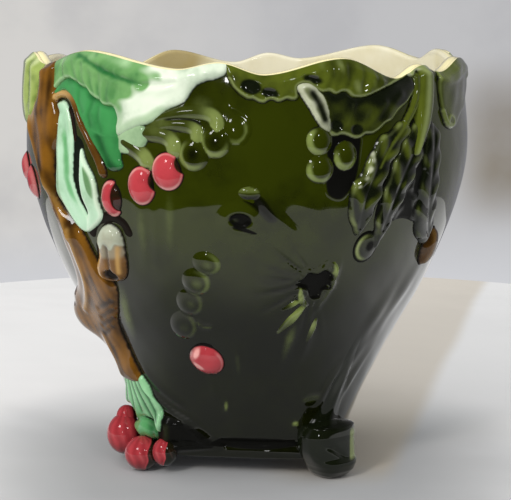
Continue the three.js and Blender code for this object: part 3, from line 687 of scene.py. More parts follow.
def bowl_rows():
    """Rings of the bowl from the middle of its underside, round the rim, to the middle of the inner
    floor, each as a height and an inset from the wall; and where the outer face starts and ends."""
    lip = 1.5
    rows = []

    def across(height, part, edge):
        rows.append((lambda a: height + 0 * a,
                     lambda a: (1 - part) * edge + part * wall_radius(a, height)))

    def level(height, inset):
        rows.append((lambda a: height + 0 * a, lambda a: inset + 0 * a))

    for part in np.linspace(1, 0, 7):
        across(LIP_BOTTOM, float(part), lip)
    for k in range(1, 6):
        turn = k / 6 * math.pi / 2
        level(LIP_BOTTOM + lip * (1 - math.cos(turn)), lip * (1 - math.sin(turn)))
    outside_from = len(rows)
    for height, inset in (
        (11.6, 0.0), (13.0, -0.1), (14.4, -0.05), (15.3, 0.15), (16.0, 0.6), (16.7, 1.25), (17.4, 1.8),
        (18.3, 2.0), (19.3, 2.0), (20.3, 1.7), (21.1, 1.0), (22.0, 0.25),
    ):
        level(height, inset)
    for height in np.linspace(23.2, BELLY_HEIGHT, 104):
        level(float(height), 0.0)

    def lit_side(part, inset):
        rows.append((lambda a: BELLY_HEIGHT + part * (rim_height(a) - BELLY_HEIGHT), lambda a: inset + 0 * a))

    def under(drop, inset):
        rows.append((lambda a: rim_height(a) - 0.08 - drop, lambda a: inset + 0 * a))

    for part in np.linspace(0, 0.955, 30)[1:]:
        lit_side(float(part), 0.0)
    outside_to = len(rows)
    for k in range(1, 12):
        turn = k / 12 * math.pi
        under(RIM_ROUND * (1 - math.sin(turn)), WALL / 2 * (1 - math.cos(turn)))
    for part in np.linspace(0.94, 0.05, 9):
        lit_side(float(part), WALL)
    for part in np.linspace(0.98, 0.06, 22):
        level(share(float(part)), WALL)
    for k in range(1, 7):
        turn = (1 - k / 7) * math.pi / 2
        level(INNER_FLOOR + INNER_ROUND * (1 - math.cos(turn)), WALL + INNER_ROUND * (1 - math.sin(turn)))
    for part in np.linspace(0, 1, 7):
        across(INNER_FLOOR, float(part), WALL + INNER_ROUND)
    return rows, outside_from, outside_to


def bowl():
    rows, outside_from, outside_to = bowl_rows()
    piece = clay("bowl_clay", 480, len(rows) - 1)
    mesh = piece.data
    co = read(mesh)
    row = np.rint(co[:, 1] * (len(rows) - 1)).astype(int)
    azimuth = -180 + 360 * co[:, 0]
    height, inset = np.zeros(len(co)), np.zeros(len(co))
    for k, (height_at, inset_at) in enumerate(rows):
        here = row == k
        height[here], inset[here] = height_at(azimuth[here]), inset_at(azimuth[here])
    points = polar(np.maximum(wall_radius(azimuth, height) - inset, 0), azimuth, height)
    wall = (row >= outside_from) & (row < outside_to)
    up, pale, deep, pool = ground(azimuth[wall], height[wall])
    outer = wall_point(azimuth[wall], height[wall], up)
    points[wall] = outer - inset[wall][:, None] * polar(1.0, azimuth[wall], 0.0)
    write(mesh, points * MM)
    mark(mesh, "inside", (row - outside_to - 1.0) / 2)
    mark(mesh, "edge", np.exp(-((row - outside_to - 3.5) / 4.0) ** 2))
    for name, values, other in (("pale", pale, 0.0), ("deep", deep, 0.4), ("pool", pool, 0.0)):
        whole = np.full(len(co), other)
        whole[wall] = values
        mark(mesh, name, whole)
    bpy.ops.object.mode_set(mode="EDIT")
    bpy.ops.mesh.select_all(action="SELECT")
    bpy.ops.mesh.remove_doubles(threshold=1e-6)
    bpy.ops.mesh.dissolve_degenerate(threshold=1e-7)
    bpy.ops.mesh.normals_make_consistent(inside=False)
    bpy.ops.object.mode_set(mode="OBJECT")
    place(piece, BOWL_GLAZE, "olive_glaze", ["bowl"])


bowl()


# ---- Branch, stub, crook and trunk -------------------------------------------------------------

BRANCH_LEFT = [
    (-61, 238), (-62.5, 217), (-65.5, 205), (-66, 195), (-62, 185), (-59, 170), (-58, 158), (-57, 145),
    (-57, 127), (-59.5, 114), (-66, 106), (-72, 99), (-74.5, 91), (-72, 83), (-66, 76), (-61.5, 68),
    (-58.5, 54),
]
BRANCH_RIGHT = [
    (-55, 238), (-53, 215), (-51, 205), (-51, 195), (-53, 185), (-54, 170), (-54, 158), (-48.0, 145),
    (-45, 127), (-41, 113), (-44.0, 100), (-48, 90), (-50, 80), (-50, 68), (-47.2, 54),
]
TWIG = [
    (-56.0, 209.0), (-53.8, 214.0), (-51.4, 216.6), (-48.6, 216.7), (-46.0, 213.8), (-44.0, 207.9),
    (-42.3, 201.7), (-40.1, 195.5), (-38.2, 189.0), (-36.6, 183.0), (-35.6, 177.0),
]


def branch(s):
    outline = s.outline(BRANCH_LEFT + BRANCH_RIGHT[::-1])
    body = 0.8 + 4.8 * shoulder(outline, 10.0)
    deep = 0.3 + 0.3 * ripple(s.x * 1.6, s.y * 0.2, 9, 2.2) + 0.18 * ripple(s.x, s.y, 14, 5.5)
    pale = 0.12 * np.maximum(ripple(s.x * 1.2, s.y * 0.3, 12, 8.0), 0)
    knot, _, u, v = s.oval((-65.5, 92), 13.5, 15.5, -14)
    body = body + 4.6 * crest(knot, 0.75) - 0.9 * crest(knot - 0.62, 0.1) * ease(-u * 2 + 0.5)
    # painted highlight on the knot's upper side and painted shade on its lower side
    pale = pale + 0.3 * crest(knot - 0.45, 0.25) * ease(v)
    deep = deep + 0.3 * crest(knot - 0.62, 0.12) + 0.3 * ease((-v - 0.4) * 2) * crest(knot, 1.0)
    for points, width, rise, thin in (
        ([
            (-67.0, 219), (-65.2, 207), (-61.8, 192), (-58.4, 179.4), (-56.0, 168.4), (-54.4, 158.7),
            (-52.4, 149.8), (-51.0, 141),
        ], 1.5, 1.9, 0.45),
        ([(-50.6, 145), (-50.6, 132), (-50.8, 118), (-53.4, 108), (-58.4, 99)], 1.7, 1.5, 0.55),
        ([(-59.0, 206.6), (-56.4, 193.2), (-55.6, 180.2), (-56.0, 167.7)], 2.2, 0.8, 0.12),
        ([(-58.5, 229), (-57.4, 222), (-58.0, 211)], 2.2, 0.9, 0.2),
        ([(-56.6, 82), (-57.6, 70), (-56.8, 57)], 1.8, 0.9, 0.45),
    ):
        d, along, _ = s.line(points)
        body = body + 0.8 * rise * crest(d, 1.2 * width)
        pale = np.maximum(pale, thin * crest(d, width * 1.1))
        deep = deep + 0.25 * crest(d - 2.4 * width, 1.2 * width)
    for points, notch in (
        ([(-50.6, 100.4), (-43.7, 105.1)], 1.2), ([(-51.4, 94.8), (-45.2, 99.3)], 1.3),
        ([(-53.6, 89.4), (-47.4, 93.8)], 1.2), ([(-55.0, 84.0), (-50.0, 88.1)], 1.0),
    ):
        d, _, _ = s.line(points, 1)
        body = body - 0.6 * notch * crest(d, 1.3)
        deep = deep + 0.5 * crest(d, 1.2)
    green = ease((s.y - 192) / 14) * ease((-58.5 - s.azimuth) / 3)
    dark_line = ease((0.6 - np.abs(s.azimuth + 47.0 + (s.y - 110) * 0.02)) * 0.6)
    deep = deep + 0.45 * dark_line * ease((135 - s.y) / 8) * ease((s.y - 96) / 6)
    s.lay(outline, body, pale=np.maximum(pale, 0.5 * green), deep=deep * (1 - 0.6 * green), tint=0.45 * green)
    d, along, side = s.line(TWIG)
    half = 1.9 + 0.5 * ease((along - 0.3) * 2)
    low = ease((along - 0.22) / 0.3)
    shine = crest(half - d - 0.8, 0.6) * (side > 0)
    s.lay(half - d, 0.8 + 2.2 * shoulder(half - d, half), pale=0.75 * (1 - low) + 0.3 * low * shine,
          deep=0.2 + 0.4 * low, tint=0.5 * (1 - low) + 0.24 * low)
    d, _, _ = s.line([(-50.2, 206), (-48.6, 210), (-46.8, 207), (-45.6, 200), (-44.6, 193)])
    s.lay(1.2 - d, 0.5 + 0.9 * shoulder(1.2 - d, 1.2), deep=0.95, pool=0.5)
    s.settle()


relief("branch", (-80, -33, 50, None), branch, 0.62, BROWN, "brown_glaze")


def branch_stub(s):
    outline = s.outline([
        (-41.2, 141.5), (-39.2, 146.6), (-36.2, 148.8), (-33.8, 146.0), (-33.1, 140.5), (-33.4, 135.4),
        (-33.8, 128.0), (-35.0, 121.0), (-37.6, 117.4), (-41.6, 117.0), (-44.4, 119.8), (-44.4, 126.0),
        (-42.2, 131.7), (-41.4, 136.6),
    ])
    body = 1.0 + 5.2 * shoulder(outline, 7.0)
    cap = ease((s.y - 137.6 - 1.6 * np.sin(s.x * 0.9)) / 2.4)
    split, _, _ = s.line([(-37.0, 139.0), (-37.8, 131.0), (-38.6, 123.0)])
    wedge = 0.55 * ease((1.5 - split) / 1.4) * (1 - cap)
    body = body - 2.0 * wedge
    _, inner, _, _ = s.oval((-39.2, 121.4), 4.4, 3.4, 12)
    body = body - 3.0 * ease(inner / 1.5 + 0.5)
    left = crest(s.line([(-40.0, 134), (-42.2, 127), (-42.8, 121)])[0], 1.5)
    right = crest(s.line([(-34.0, 138), (-34.8, 131), (-35.6, 124)])[0], 1.4)
    s.lay(outline, body, tint=np.maximum(cap, 0.45 * ease((s.y - 128) / 6)),
          pale=0.75 * np.maximum(left, right) * (1 - cap) + 0.25 * cap,
          deep=(1.3 * ease(inner / 1.2 + 0.6) + 1.1 * wedge) * (1 - cap) + 0.25 * crest(split, 1.2) * cap,
          pool=(0.9 * ease(inner / 1.2 + 0.3) + 0.7 * wedge) * (1 - cap))
    shade, _, _ = s.line([
        (-43.6, 143.0), (-42.4, 147.0), (-39.6, 151.2), (-35.4, 152.9), (-32.2, 150.2), (-31.0, 145.2),
    ])
    s.lay(2.2 - shade, 0.5 + 0.3 * shoulder(2.2 - shade, 1.5), pool=1.0)
    side, _, _ = s.line([(-42.8, 136), (-43.8, 129), (-46.4, 120)])
    s.lay(1.2 - side, 0.5 + 0.2 * shoulder(1.2 - side, 1.2), pool=1.0)
    s.settle(0.3, 1.5)


relief("branch_stub", (-50, -27, 111, 159), branch_stub, 0.55, BROWN, "brown_glaze")


def crook(s):
    outline = s.outline([
        (-76.0, 243), (-77.4, 229), (-76.4, 217), (-74.0, 207), (-69.4, 199.0), (-64.4, 197.6),
        (-61.6, 203), (-60.6, 213), (-60.2, 223), (-61.6, 233), (-63.4, 243),
    ])
    a, _, _ = s.line([(-69.5, 236), (-70.4, 226), (-70.0, 214), (-66.5, 205)])
    b, _, _ = s.line([(-66.0, 238), (-64.8, 228), (-63.6, 217), (-63.2, 207)])
    c, _, _ = s.line([(-67.6, 233), (-67.4, 223), (-66.6, 212)])
    body = 1.6 + 3.6 * shoulder(outline, 6.0)
    body = body + 0.7 * crest(a, 2.6) + 0.8 * crest(b, 2.6) - 0.9 * crest(c, 2.4)
    brown = 0.9 * ease((s.azimuth + 65.0) / 3) * ease((232 - s.y) / 10)
    s.lay(outline, body, pale=0.5 * crest(a, 2.4) + 0.4 * crest(b, 2.4) + 0.4 * ease((s.y - 228) / 8),
          deep=0.75 * crest(c, 2.0) + 0.3 * ripple(s.x, s.y, 9, 3.0) + 0.5 * brown)
    s.settle()


relief("crook", (-82, -56, 193, None), crook, 0.6, CROOK_GREEN, "leaf_green_glaze")


def trunk(s):
    stations = [
        (43.4, 228.0, 4.0), (44.4, 232.0, 6.4), (46.4, 233.4, 8.2), (48.4, 230.0, 11.0),
        (48.6, 223.0, 13.4), (47.8, 213.0, 14.0), (46.4, 203.0, 12.0), (44.6, 194.0, 7.4),
        (43.2, 186.0, 2.6),
    ]
    d, along, side = s.line([(a, z) for a, z, _ in stations])
    half = np.interp(along, np.linspace(0, 1, len(stations)), [w / 2 for _, _, w in stations])
    depth = half - d
    body = 0.9 + 4.4 * shoulder(depth, half)
    top = ease((s.y - 225) / 7)
    # painted highlight down one side of the trunk and painted shade down the other
    light = crest(d * side + half * 0.15, half * 0.3 + 0.5)
    s.lay(depth, body, pale=0.7 * light + 0.5 * top,
          deep=0.6 * crest(d * side - half * 0.75, 1.4) * (1 - top),
          tint=0.2 * top + 0.7 * ease((s.y - rim_height(s.azimuth) + 4) / 3), fall=0.9)
    d, along, side = s.line([(45.2, 226), (45.0, 219), (43.4, 211), (40.4, 203)])
    half = 2.6 - 1.2 * along
    s.lay(half - d, 0.8 + 2.2 * shoulder(half - d, half), pale=0.2 * crest(d, 0.8), deep=0.35, fall=0.8)
    s.settle()


dark_relief("trunk", (38, 58, 183, None), trunk)


# ---- The wide leaf and the narrow leaf ---------------------------------------------------------

FOLD_UPPER = [
    (-55.6, 212.6), (-54.6, 216.8), (-52.1, 221.9), (-49.6, 224.8), (-47.2, 225.2), (-45.1, 223.6),
    (-42.8, 221.2), (-41.2, 220.4), (-40.0, 217.6), (-38.4, 215.8), (-36.9, 214.6), (-35.6, 212.4),
    (-33.8, 211.6), (-32.4, 211.4), (-31.0, 210.1),
]
FOLD_LOWER = [
    (-55.5, 210.4), (-53.6, 214.6), (-51.5, 217.6), (-49.3, 218.8), (-47.4, 216.6), (-46.0, 213.6),
    (-44.4, 209.6), (-43.0, 205.6), (-40.9, 200.4), (-37.2, 197.0), (-33.8, 195.3), (-30.8, 196.0),
]
WHITE_LOWER = [
    (-30.8, 196.4), (-28.7, 198.6), (-25.8, 201.6), (-22.3, 204.0), (-19.7, 207.4), (-18.2, 210.6),
    (-16.2, 212.6), (-14.2, 214.8), (-12.8, 219.6), (-11.3, 223.5), (-8.8, 225.8), (-6.4, 226.9),
    (-4.6, 229.6),
]


def wide_leaf(s):
    outline = s.outline(
        FOLD_UPPER[:-1] + [(-31.2, 206.0), (-31.5, 201.0)] + WHITE_LOWER
        + [(-4.3, 236), (-4.6, 256), (-30, 256), (-53, 256), (-57.0, 238), (-57.0, 224)], 3)
    body = 1.2 + 1.3 * shoulder(outline, 4.5)
    body = body + 0.6 * ripple(s.x, s.y, 19, 2.0) + 0.2 * ripple(s.x, s.y, 8, 5.0)
    vein, along, side = s.line([
        (-44.6, 237.6), (-42.1, 236.1), (-37.8, 231.5), (-33.0, 227.7), (-28.6, 224.8), (-25.0, 223.3),
        (-21.0, 223.0), (-16.5, 224.4),
    ], reach=200)
    body = body - 0.8 * crest(vein, 1.1) + 0.5 * crest(vein - 3.0, 1.8)
    deep = 0.8 * crest(vein, 1.3) * (1 - ease((along - 0.55) / 0.3)) + 0.1 + 0.3 * ripple(s.x, s.y, 15, 9.0)
    pale = 0.22 * np.maximum(ripple(s.x, s.y, 17, 3.7), 0)
    pale = pale + 0.25 * ease((s.y - rim_height(s.azimuth) + 7) / 5)
    for points, dark in (
        ([
            (-47.4, 235.0), (-45.9, 228.6), (-44.5, 224.6),
        ], 0.5), ([(-40.4, 231), (-39.8, 223.4), (-38.8, 217.9)], 0.6),
        ([
            (-37.2, 227.5), (-37.4, 220.6), (-36.6, 215.6),
        ], 0.6), ([(-34.4, 223.5), (-34.6, 216.8), (-34.0, 213.0)], 0.5),
        ([(-43.2, 233), (-43.2, 227), (-42.2, 222.6)], 0.45), ([(-31.6, 222.5), (-32.2, 216.0)], 0.35),
        ([(-50.4, 234), (-50.6, 229), (-50.0, 226)], 0.4),
        ([
            (-31.0, 229.5), (-26.0, 234.5),
        ], 0.15), ([(-36.0, 232), (-33.0, 238)], 0.2), ([(-25.5, 226.5), (-20.5, 229.5)], 0.1),
    ):
        d, part, _ = s.line(points)
        body = body - 0.45 * crest(d, 1.2) + 0.25 * crest(d - 2.4, 1.2)
        deep = np.maximum(deep, dark * crest(d, 1.6) * ease(part * 2))
        pale = np.maximum(pale, 0.2 * crest(d - 2.8, 1.3))
    for centre, size, dark in (
        ((-41.6, 235.6), 2.4, 0.9), ((-43.0, 233.6), 1.6, 0.6), ((-38.2, 238.2), 1.8, 0.7),
        ((-25.9, 228.4), 1.4, 0.8), ((-47.8, 229.6), 2.6, 0.4), ((-24.9, 234.6), 2.0, 0.5),
    ):
        deep = np.maximum(deep, dark * crest(s.oval(centre, size, size)[0], 1.0))
    edge = crest(outline - 1.2, 0.8)
    split, _, side = s.line([
        (-19.6, 252), (-22.6, 236.0), (-23.4, 230.3), (-22.6, 225.7), (-24.4, 220.2), (-28.0, 215.8),
        (-31.4, 212.0), (-33.6, 209), (-36, 200),
    ], reach=300)
    spread = 8 + 12 * ease((s.y - 216) / 12)
    white = ease(0.5 + side * split / spread + 0.3 * ripple(s.x, s.y, 13, 6.0))
    minty = 0.5 * ease((9 - outline) / 6) * ease((-10 - s.azimuth) / 6) * ease((218 - s.y) / 8)
    deep = deep * (1 - 0.85 * white) + 0.12 * minty
    s.lay(outline, body, pale=np.maximum(pale, 0.6 * edge) * (1 - 0.5 * white),
          tint=np.clip(white - minty, 0, 1), deep=deep)
    s.settle(0.3, 1.1)


relief("wide_leaf", (-59, -2, 192, None), wide_leaf, 0.62, LEAF_GREEN, "leaf_green_glaze")


def wide_leaf_fold(s):
    under = s.outline(FOLD_UPPER + FOLD_LOWER[::-1], 3)
    body = 0.9 + 1.0 * shoulder(under, 3.0) + 0.3 * ripple(s.x, s.y, 11, 6.0)
    deep = 0.5 * crest(s.line(FOLD_UPPER)[0], 2.2) + 0.2 * ripple(s.x, s.y, 12, 2.0)
    for points in (
        [(-38.4, 214), (-39.6, 207), (-39.0, 201)], [(-36.4, 212), (-36.6, 205), (-35.6, 199)],
        [(-43.4, 219), (-43.4, 213), (-41.8, 208)],
    ):
        d, _, _ = s.line(points)
        body = body - 0.4 * crest(d, 1.2)
        deep = np.maximum(deep, 0.4 * crest(d, 1.6))
    s.lay(under, body, deep=deep, pale=0.3 * crest(s.line(FOLD_LOWER)[0] - 1.0, 0.6))
    tip = s.outline([
        (-41.4, 201.2), (-37.1, 198.4), (-31.0, 197.6), (-30.3, 190.9), (-30.2, 185.0), (-29.8, 180.8),
        (-31.4, 178.6), (-33.9, 179.2), (-35.2, 183.3), (-37.0, 188.6), (-39.5, 194.5),
    ])
    stripe, _, _ = s.line([(-36.4, 196), (-34.4, 187), (-32.2, 179)])
    s.lay(tip, 0.8 + 1.0 * shoulder(tip, 4.0) - 0.4 * crest(stripe, 1.6), pale=0.12,
          deep=0.2 + 0.55 * crest(stripe, 2.6) + 0.4 * ease((186 - s.y) / 8))
    stalk = s.outline([
        (-30.8, 198.0), (-28.4, 200.6), (-25.4, 202.6), (-23.4, 200.6), (-23.2, 194.3), (-25.4, 189.6),
        (-30.0, 188.4),
    ])
    fades = ease((s.azimuth + 27.5) / 6)
    s.lay(stalk, 0.7 + 1.2 * shoulder(stalk, 5.0), tint=1.0, pale=0.1, deep=0.5 * fades)
    s.settle(0.3, 0.9)


relief("wide_leaf_fold", (-59, -18, 172, 230), wide_leaf_fold, 0.6, FOLD_GREEN, "leaf_green_glaze")


def narrow_leaf(s):
    slit = s.outline([
        (-45.6, 194), (-45.2, 180), (-45.8, 170), (-44.8, 162), (-42.4, 152.6), (-43.4, 163), (-43.2, 175),
        (-42.2, 190),
    ])
    s.lay(slit + 1.0, 0.5 + 0 * s.x, pool=1.0)
    first = s.outline([
        (-52.4, 211.6), (-51.0, 206.5), (-51.9, 196.5), (-52.2, 188.3), (-52.2, 180.1), (-53.2, 171.5),
        (-54.0, 163.7), (-51.9, 157.4), (-50.0, 150.9), (-48.0, 146.0), (-44.9, 143.2), (-42.8, 149.0),
        (-43.4, 155.4), (-44.8, 161.0), (-45.6, 168.0), (-45.8, 174.5), (-45.1, 184.4), (-44.9, 194.1),
        (-46.1, 203.7), (-48.6, 212.6),
    ])
    streak, _, _ = s.line([
        (-48.6, 206), (-47.6, 195), (-47.1, 182), (-47.6, 172), (-46.4, 163), (-44.8, 156),
    ])
    ridge, _, _ = s.line([(-50.6, 204), (-50.0, 190), (-50.2, 176), (-51.0, 165), (-49.0, 155), (-46.6, 147)])
    s.lay(first, 0.9 + 1.7 * shoulder(first, 4.5) + 0.5 * crest(ridge, 1.8) - 0.4 * crest(streak, 1.8),
          tint=0.62 * crest(streak + 0.5 * ripple(s.x, s.y, 9, 2.0), 3.8)
          * ease((207 - s.y) / 14) * ease((s.y - 152) / 12),
          deep=0.2 * crest(streak - 0.6, 1.8) * ease((200 - s.y) / 14),
          pale=0.5 * crest(first - 1.0, 0.9) + 0.3 * crest(ridge, 1.6))
    second = s.outline([
        (-42.2, 189.2), (-40.6, 181.7), (-38.8, 175.5), (-38.0, 169.1), (-38.2, 161.5), (-37.9, 153.1),
        (-40.8, 147.6), (-44.6, 143.6), (-44.0, 149), (-42.6, 155.4), (-43.6, 163.1), (-43.7, 171.4),
        (-43.0, 179.8),
    ])
    dark = s.outline([(-41.2, 179.5), (-39.2, 175), (-37.9, 169.5), (-38.9, 163.5), (-40.8, 167.7)])
    s.lay(second, 0.9 + 1.6 * shoulder(second, 3.5), tint=0.2 * ripple(s.x, s.y, 9, 1.0),
          pale=0.5 * crest(second - 1.0, 1.0) + 0.3, deep=1.3 * ease(dark / 1.5 + 0.6))
    s.settle(0.3, 1.1)


relief("narrow_leaf", (-59, -33, 138, 218), narrow_leaf, 0.55, MINT, "mint_glaze")


# ---- Cherries and their stalks -----------------------------------------------------------------


def round_cherry(s, centre, wide, high, rise, tilt=0.0, lit=(0.0, 0.0), ring=0.5, base=0.3, fall=1.0,
                 **marks):
    """A domed cherry; a pale ring at its rim, thin glaze and painted light, lies on the side that lit points
    to.
    """
    out, depth, u, v = s.oval(centre, wide, high, tilt)
    dome = base + rise * (1 - np.clip(out, 0, 1) ** 2.6)
    # painted light: the rim is paler on the side that lit points to
    lit_side = ease(0.5 + 0.75 * (u * lit[0] + v * lit[1]))
    pale = ring * crest((out - 0.80) * min(wide, high), 1.7) * lit_side
    s.lay(depth, dome, fall=fall, base=base, pale=pale, **marks)
    return out, depth, u, v


def red_cherry(centre, notch, wide=7.6, high=9.6, tilt=-6.0):
    def draw(s):
        _, depth, u, v = round_cherry(s, centre, wide, high, 4.2, tilt, ring=0.0)
        _, hollow, _, _ = s.oval(notch[:2], notch[2], notch[3], notch[4])
        covered = ease(hollow / 0.9 + 0.5)
        s.lift = np.where(depth > 0, s.lift - 1.6 * covered, s.lift)
        s.stain("tint", 1.2 * covered * (depth > -1))
        # the pale rim is thin glaze; a painted reflection of the floor pales the lower part and painted light
        # pales the left side
        edge = crest(depth - 0.9, 0.6) * (1 - covered)
        low = ease((-v - 0.5) * 2.5) * (1 - covered)
        left = ease((-u - 0.1) * 1.5) * (1 - covered)
        s.stain("pale", 0.6 * edge + (0.45 * low + 0.3 * left) * (depth > 0))
        s.settle(0.3, 1.2)
    return draw


def make_red(name, centre, notch, **sizes):
    a, z = centre
    relief(name, (a - 8, a + 8, z - 15, z + 15), red_cherry(centre, notch, **sizes), 0.45, CHERRY_RED,
           "cherry_red_glaze")


make_red("red_cherry_1", (-33.8, 163.4), (-30.6, 166.6, 5.2, 10.4, -14), tilt=-12.0, wide=7.2, high=10.4)
make_red("red_cherry_2", (-25.0, 171.3), (-20.7, 173.8, 4.6, 6.4, 12), tilt=-8.0, wide=8.2, high=10.4)
make_red("red_cherry_3", (-18.2, 179.2), (-14.3, 183.0, 4.0, 5.4, 30), tilt=4.0, wide=8.8, high=10.0)


def red_cherry_low(s):
    _, depth, u, v = round_cherry(s, (-14.7, 72.4), 9.8, 8.9, 4.6, -34.0, ring=0.0)
    s.stain("tint", 0.7 * ease((-u - 0.72) * 4))
    # painted light: a pale rim on the right and a paler left side
    right = crest(depth - 0.9, 0.7) * ease((u + 0.2) * 1.5)
    s.stain("pale", 0.55 * right + 0.4 * ease((-u - 0.35) * 2) * (depth > 0))
    # two painted highlights
    s.stain("pale", 1.6 * crest(np.hypot((u + 0.22) / 0.30, (v + 0.42) / 0.17), 1.0))
    s.stain("pale", 1.3 * crest(np.hypot((u + 0.66) / 0.14, (v - 0.25) / 0.34), 1.0))
    # painted shade along the cherry's top
    shade, _, _ = s.line([(-17.2, 80.2), (-15.0, 81.4), (-12.6, 80.6)])
    s.lay(1.1 - shade, 0.4 + 0.2 * shoulder(1.1 - shade, 1.0), pool=1.0)
    s.settle(0.3, 1.1)


relief("red_cherry_low", (-26, -3, 60, 87), red_cherry_low, 0.45, CHERRY_RED, "cherry_red_glaze")


def side_cherries(s):
    for centre in ((-78.6, 172.0), (-72.0, 165.6)):
        round_cherry(s, centre, 6.6, 10.0, 3.8, -12, ring=0.5, lit=(0.6, 0.0), deep=0.2)
    s.settle(0.3, 1.2)


relief("side_cherries", (-85, -63, 153, 187), side_cherries, 0.55, CHERRY_RED, "cherry_red_glaze")


def finger(s, points, width):
    """A short thick stalk with a rounded end, swelling softly out of the wall; its end is pale, and one edge
    has a painted highlight.
    """
    d, along, side = s.line(points)
    half = width / 2 * (0.75 + 0.25 * ease(along * 3))
    depth = half - d
    start = ease(along * 5)
    tip = 0.75 * ease((along - 0.45) / 0.4)
    pale = tip + 0.25 + 0.35 * crest(depth - 1.2, 1.2) * ease(0.5 - side)
    swell = (1 - (1 - ease(depth / half * 0.75)) ** 2) * (0.35 + 0.65 * start)
    s.lay(depth, 2.4 * swell, fall=0.4, base=0.0, pale=pale * ease(depth / 2),
          deep=0.35 * crest(d, 1.8) * ease((along - 0.3) * 2))


def hollows(s, points, width, dark=0.9):
    """A dark line along a form's lower side: gathered glaze, with painted shade under the form."""
    d, along, _ = s.line(points)
    s.stain("pool", dark * crest(d, width) * ease(6 * along) * ease(6 * (1 - along)))


def cherry_stalks(s):
    finger(s, [(-30.6, 195.5), (-28.6, 192.8), (-26.0, 190.0), (-24.1, 186.6), (-23.2, 183.4)], 10.4)
    finger(s, [
        (-25.6, 198.0), (-23.0, 198.3), (-20.3, 198.3), (-18.1, 196.6), (-16.8, 193.6), (-16.4, 190.4),
    ], 10.0)
    hollows(s, [(-26.6, 196.6), (-23.4, 194.6), (-20.6, 192.2), (-19.6, 188.4)], 1.0)
    hollows(s, [(-29.6, 186.4), (-27.0, 182.4), (-24.4, 180.4), (-22.0, 180.6)], 1.1)
    hollows(s, [(-17.4, 200.6), (-14.8, 198.6), (-13.8, 194.6)], 0.9)


soft_relief("cherry_stalks", (-34, -11, 176, 206), cherry_stalks)


def green_cherries_top(s):
    finger(s, [
        (-23.1, 205.2), (-18.9, 207.6), (-14.5, 209.4), (-10.9, 209.8), (-8.1, 208.6), (-6.6, 205.3),
        (-6.5, 200),
    ], 9.0)
    finger(s, [(-21.1, 202.0), (-16.7, 203.4), (-13.4, 203.0), (-11.4, 200.6), (-11.0, 196.5)], 8.6)
    round_cherry(s, (-11.9, 188.3), 8.2, 8.6, 2.8, lit=(-0.6, -0.5), ring=0.9, base=0.0, fall=0.7)
    round_cherry(s, (-6.9, 195.0), 8.0, 8.6, 3.0, lit=(-0.3, -0.7), ring=0.9, base=0.0, fall=0.7)
    round_cherry(s, (-2.2, 200.8), 6.6, 7.6, 1.6, lit=(0.7, -0.6), ring=0.6, base=0.0, fall=0.6)
    for centre, dark in (((-11.9, 188.6), 0.9), ((-6.9, 195.0), 0.6)):
        out, _, _, _ = s.oval(centre, 4.4, 5.2)
        s.stain("deep", dark * crest(out, 0.9))
    hollows(s, [(-19.8, 205.2), (-15.4, 206.2), (-12.0, 205.6), (-9.6, 202.6)], 0.9)
    hollows(s, [(-20.4, 199.6), (-16.8, 200.2), (-14.6, 198.6), (-13.6, 195.8)], 0.9)
    arc, _, _ = s.line([(-3.4, 212.4), (-1.2, 209.8), (0.4, 205.6), (0.7, 199.8), (-0.6, 194.5)])
    s.lay(1.9 - arc, 0.7 * ease((1.9 - arc) / 1.9), pale=0.2 * crest(arc, 1.0), base=0.0, fall=0.5)
    hollows(s, [(-16.6, 184.6), (-15.0, 180.6), (-11.6, 178.4), (-8.0, 180.4), (-6.6, 184.0)], 0.8, 0.9)
    hollows(s, [(-8.0, 187.4), (-5.0, 186.0), (-1.8, 188.6)], 0.7, 0.8)


soft_relief("green_cherries_top", (-27, 5, 174, 216), green_cherries_top)


def cherry_cluster(s):
    # painted shade between the cherries
    shade = s.outline([
        (18.8, 198.5), (23, 199.5), (27.6, 197), (27.6, 188), (26.8, 174), (23.4, 163.5), (19.6, 165.5),
        (18.4, 172), (18.4, 178.7),
    ])
    s.lay(shade, 0.25 + 0 * s.x, pool=ease(shade / 2.5 + 0.1), fall=0.4, base=0.0)
    round_cherry(s, (17.2, 180.4), 7.4, 7.4, 2.8, lit=(-0.5, -0.8), ring=1.0, base=0.1)
    round_cherry(s, (17.0, 195.0), 7.0, 7.4, 2.9, lit=(-0.9, -0.5), ring=1.1, base=0.1)
    round_cherry(s, (23.3, 187.0), 6.6, 7.6, 2.8, lit=(-0.2, -0.9), ring=1.1, base=0.2)
    hollows(s, [(13.4, 193.0), (13.6, 197.6), (15.6, 201.6), (18.6, 202.6)], 0.8)
    hollows(s, [(13.4, 183), (13.6, 178), (15.6, 174), (19, 173)], 0.8)


soft_relief("cherry_cluster", (9, 31, 160, 206), cherry_cluster)


def green_cherries_low(s):
    for centre, wide, high, rise, glow in (
        ((-20.3, 93.2), 7.8, 8.6, 1.5, 0.55), ((-16.6, 107.4), 7.6, 8.0, 1.8, 0.65),
        ((-13.7, 119.8), 7.8, 7.8, 2.3, 0.95), ((-10.3, 130.4), 7.6, 6.4, 2.0, 0.9),
    ):
        round_cherry(s, centre, wide, high, rise, -20.0, lit=(0.75, 0.2), ring=0.62 * glow, base=0.0,
                     fall=0.5)
        _, depth, u, v = s.oval(centre, wide + 0.4, high + 0.4, -20.0)
        s.stain("pale", 0.42 * glow * crest(np.hypot(u - 0.1, v), 0.55) * (depth > 0))
        # painted shade along each cherry's lower edge
        s.stain("pool", 0.75 * crest(depth, 0.6) * ease(0.5 - 1.2 * v))


soft_relief("green_cherries_low", (-29, -3, 80, 141), green_cherries_low)


# ---- The dark leaf and what hangs below it -------------------------------------------------------

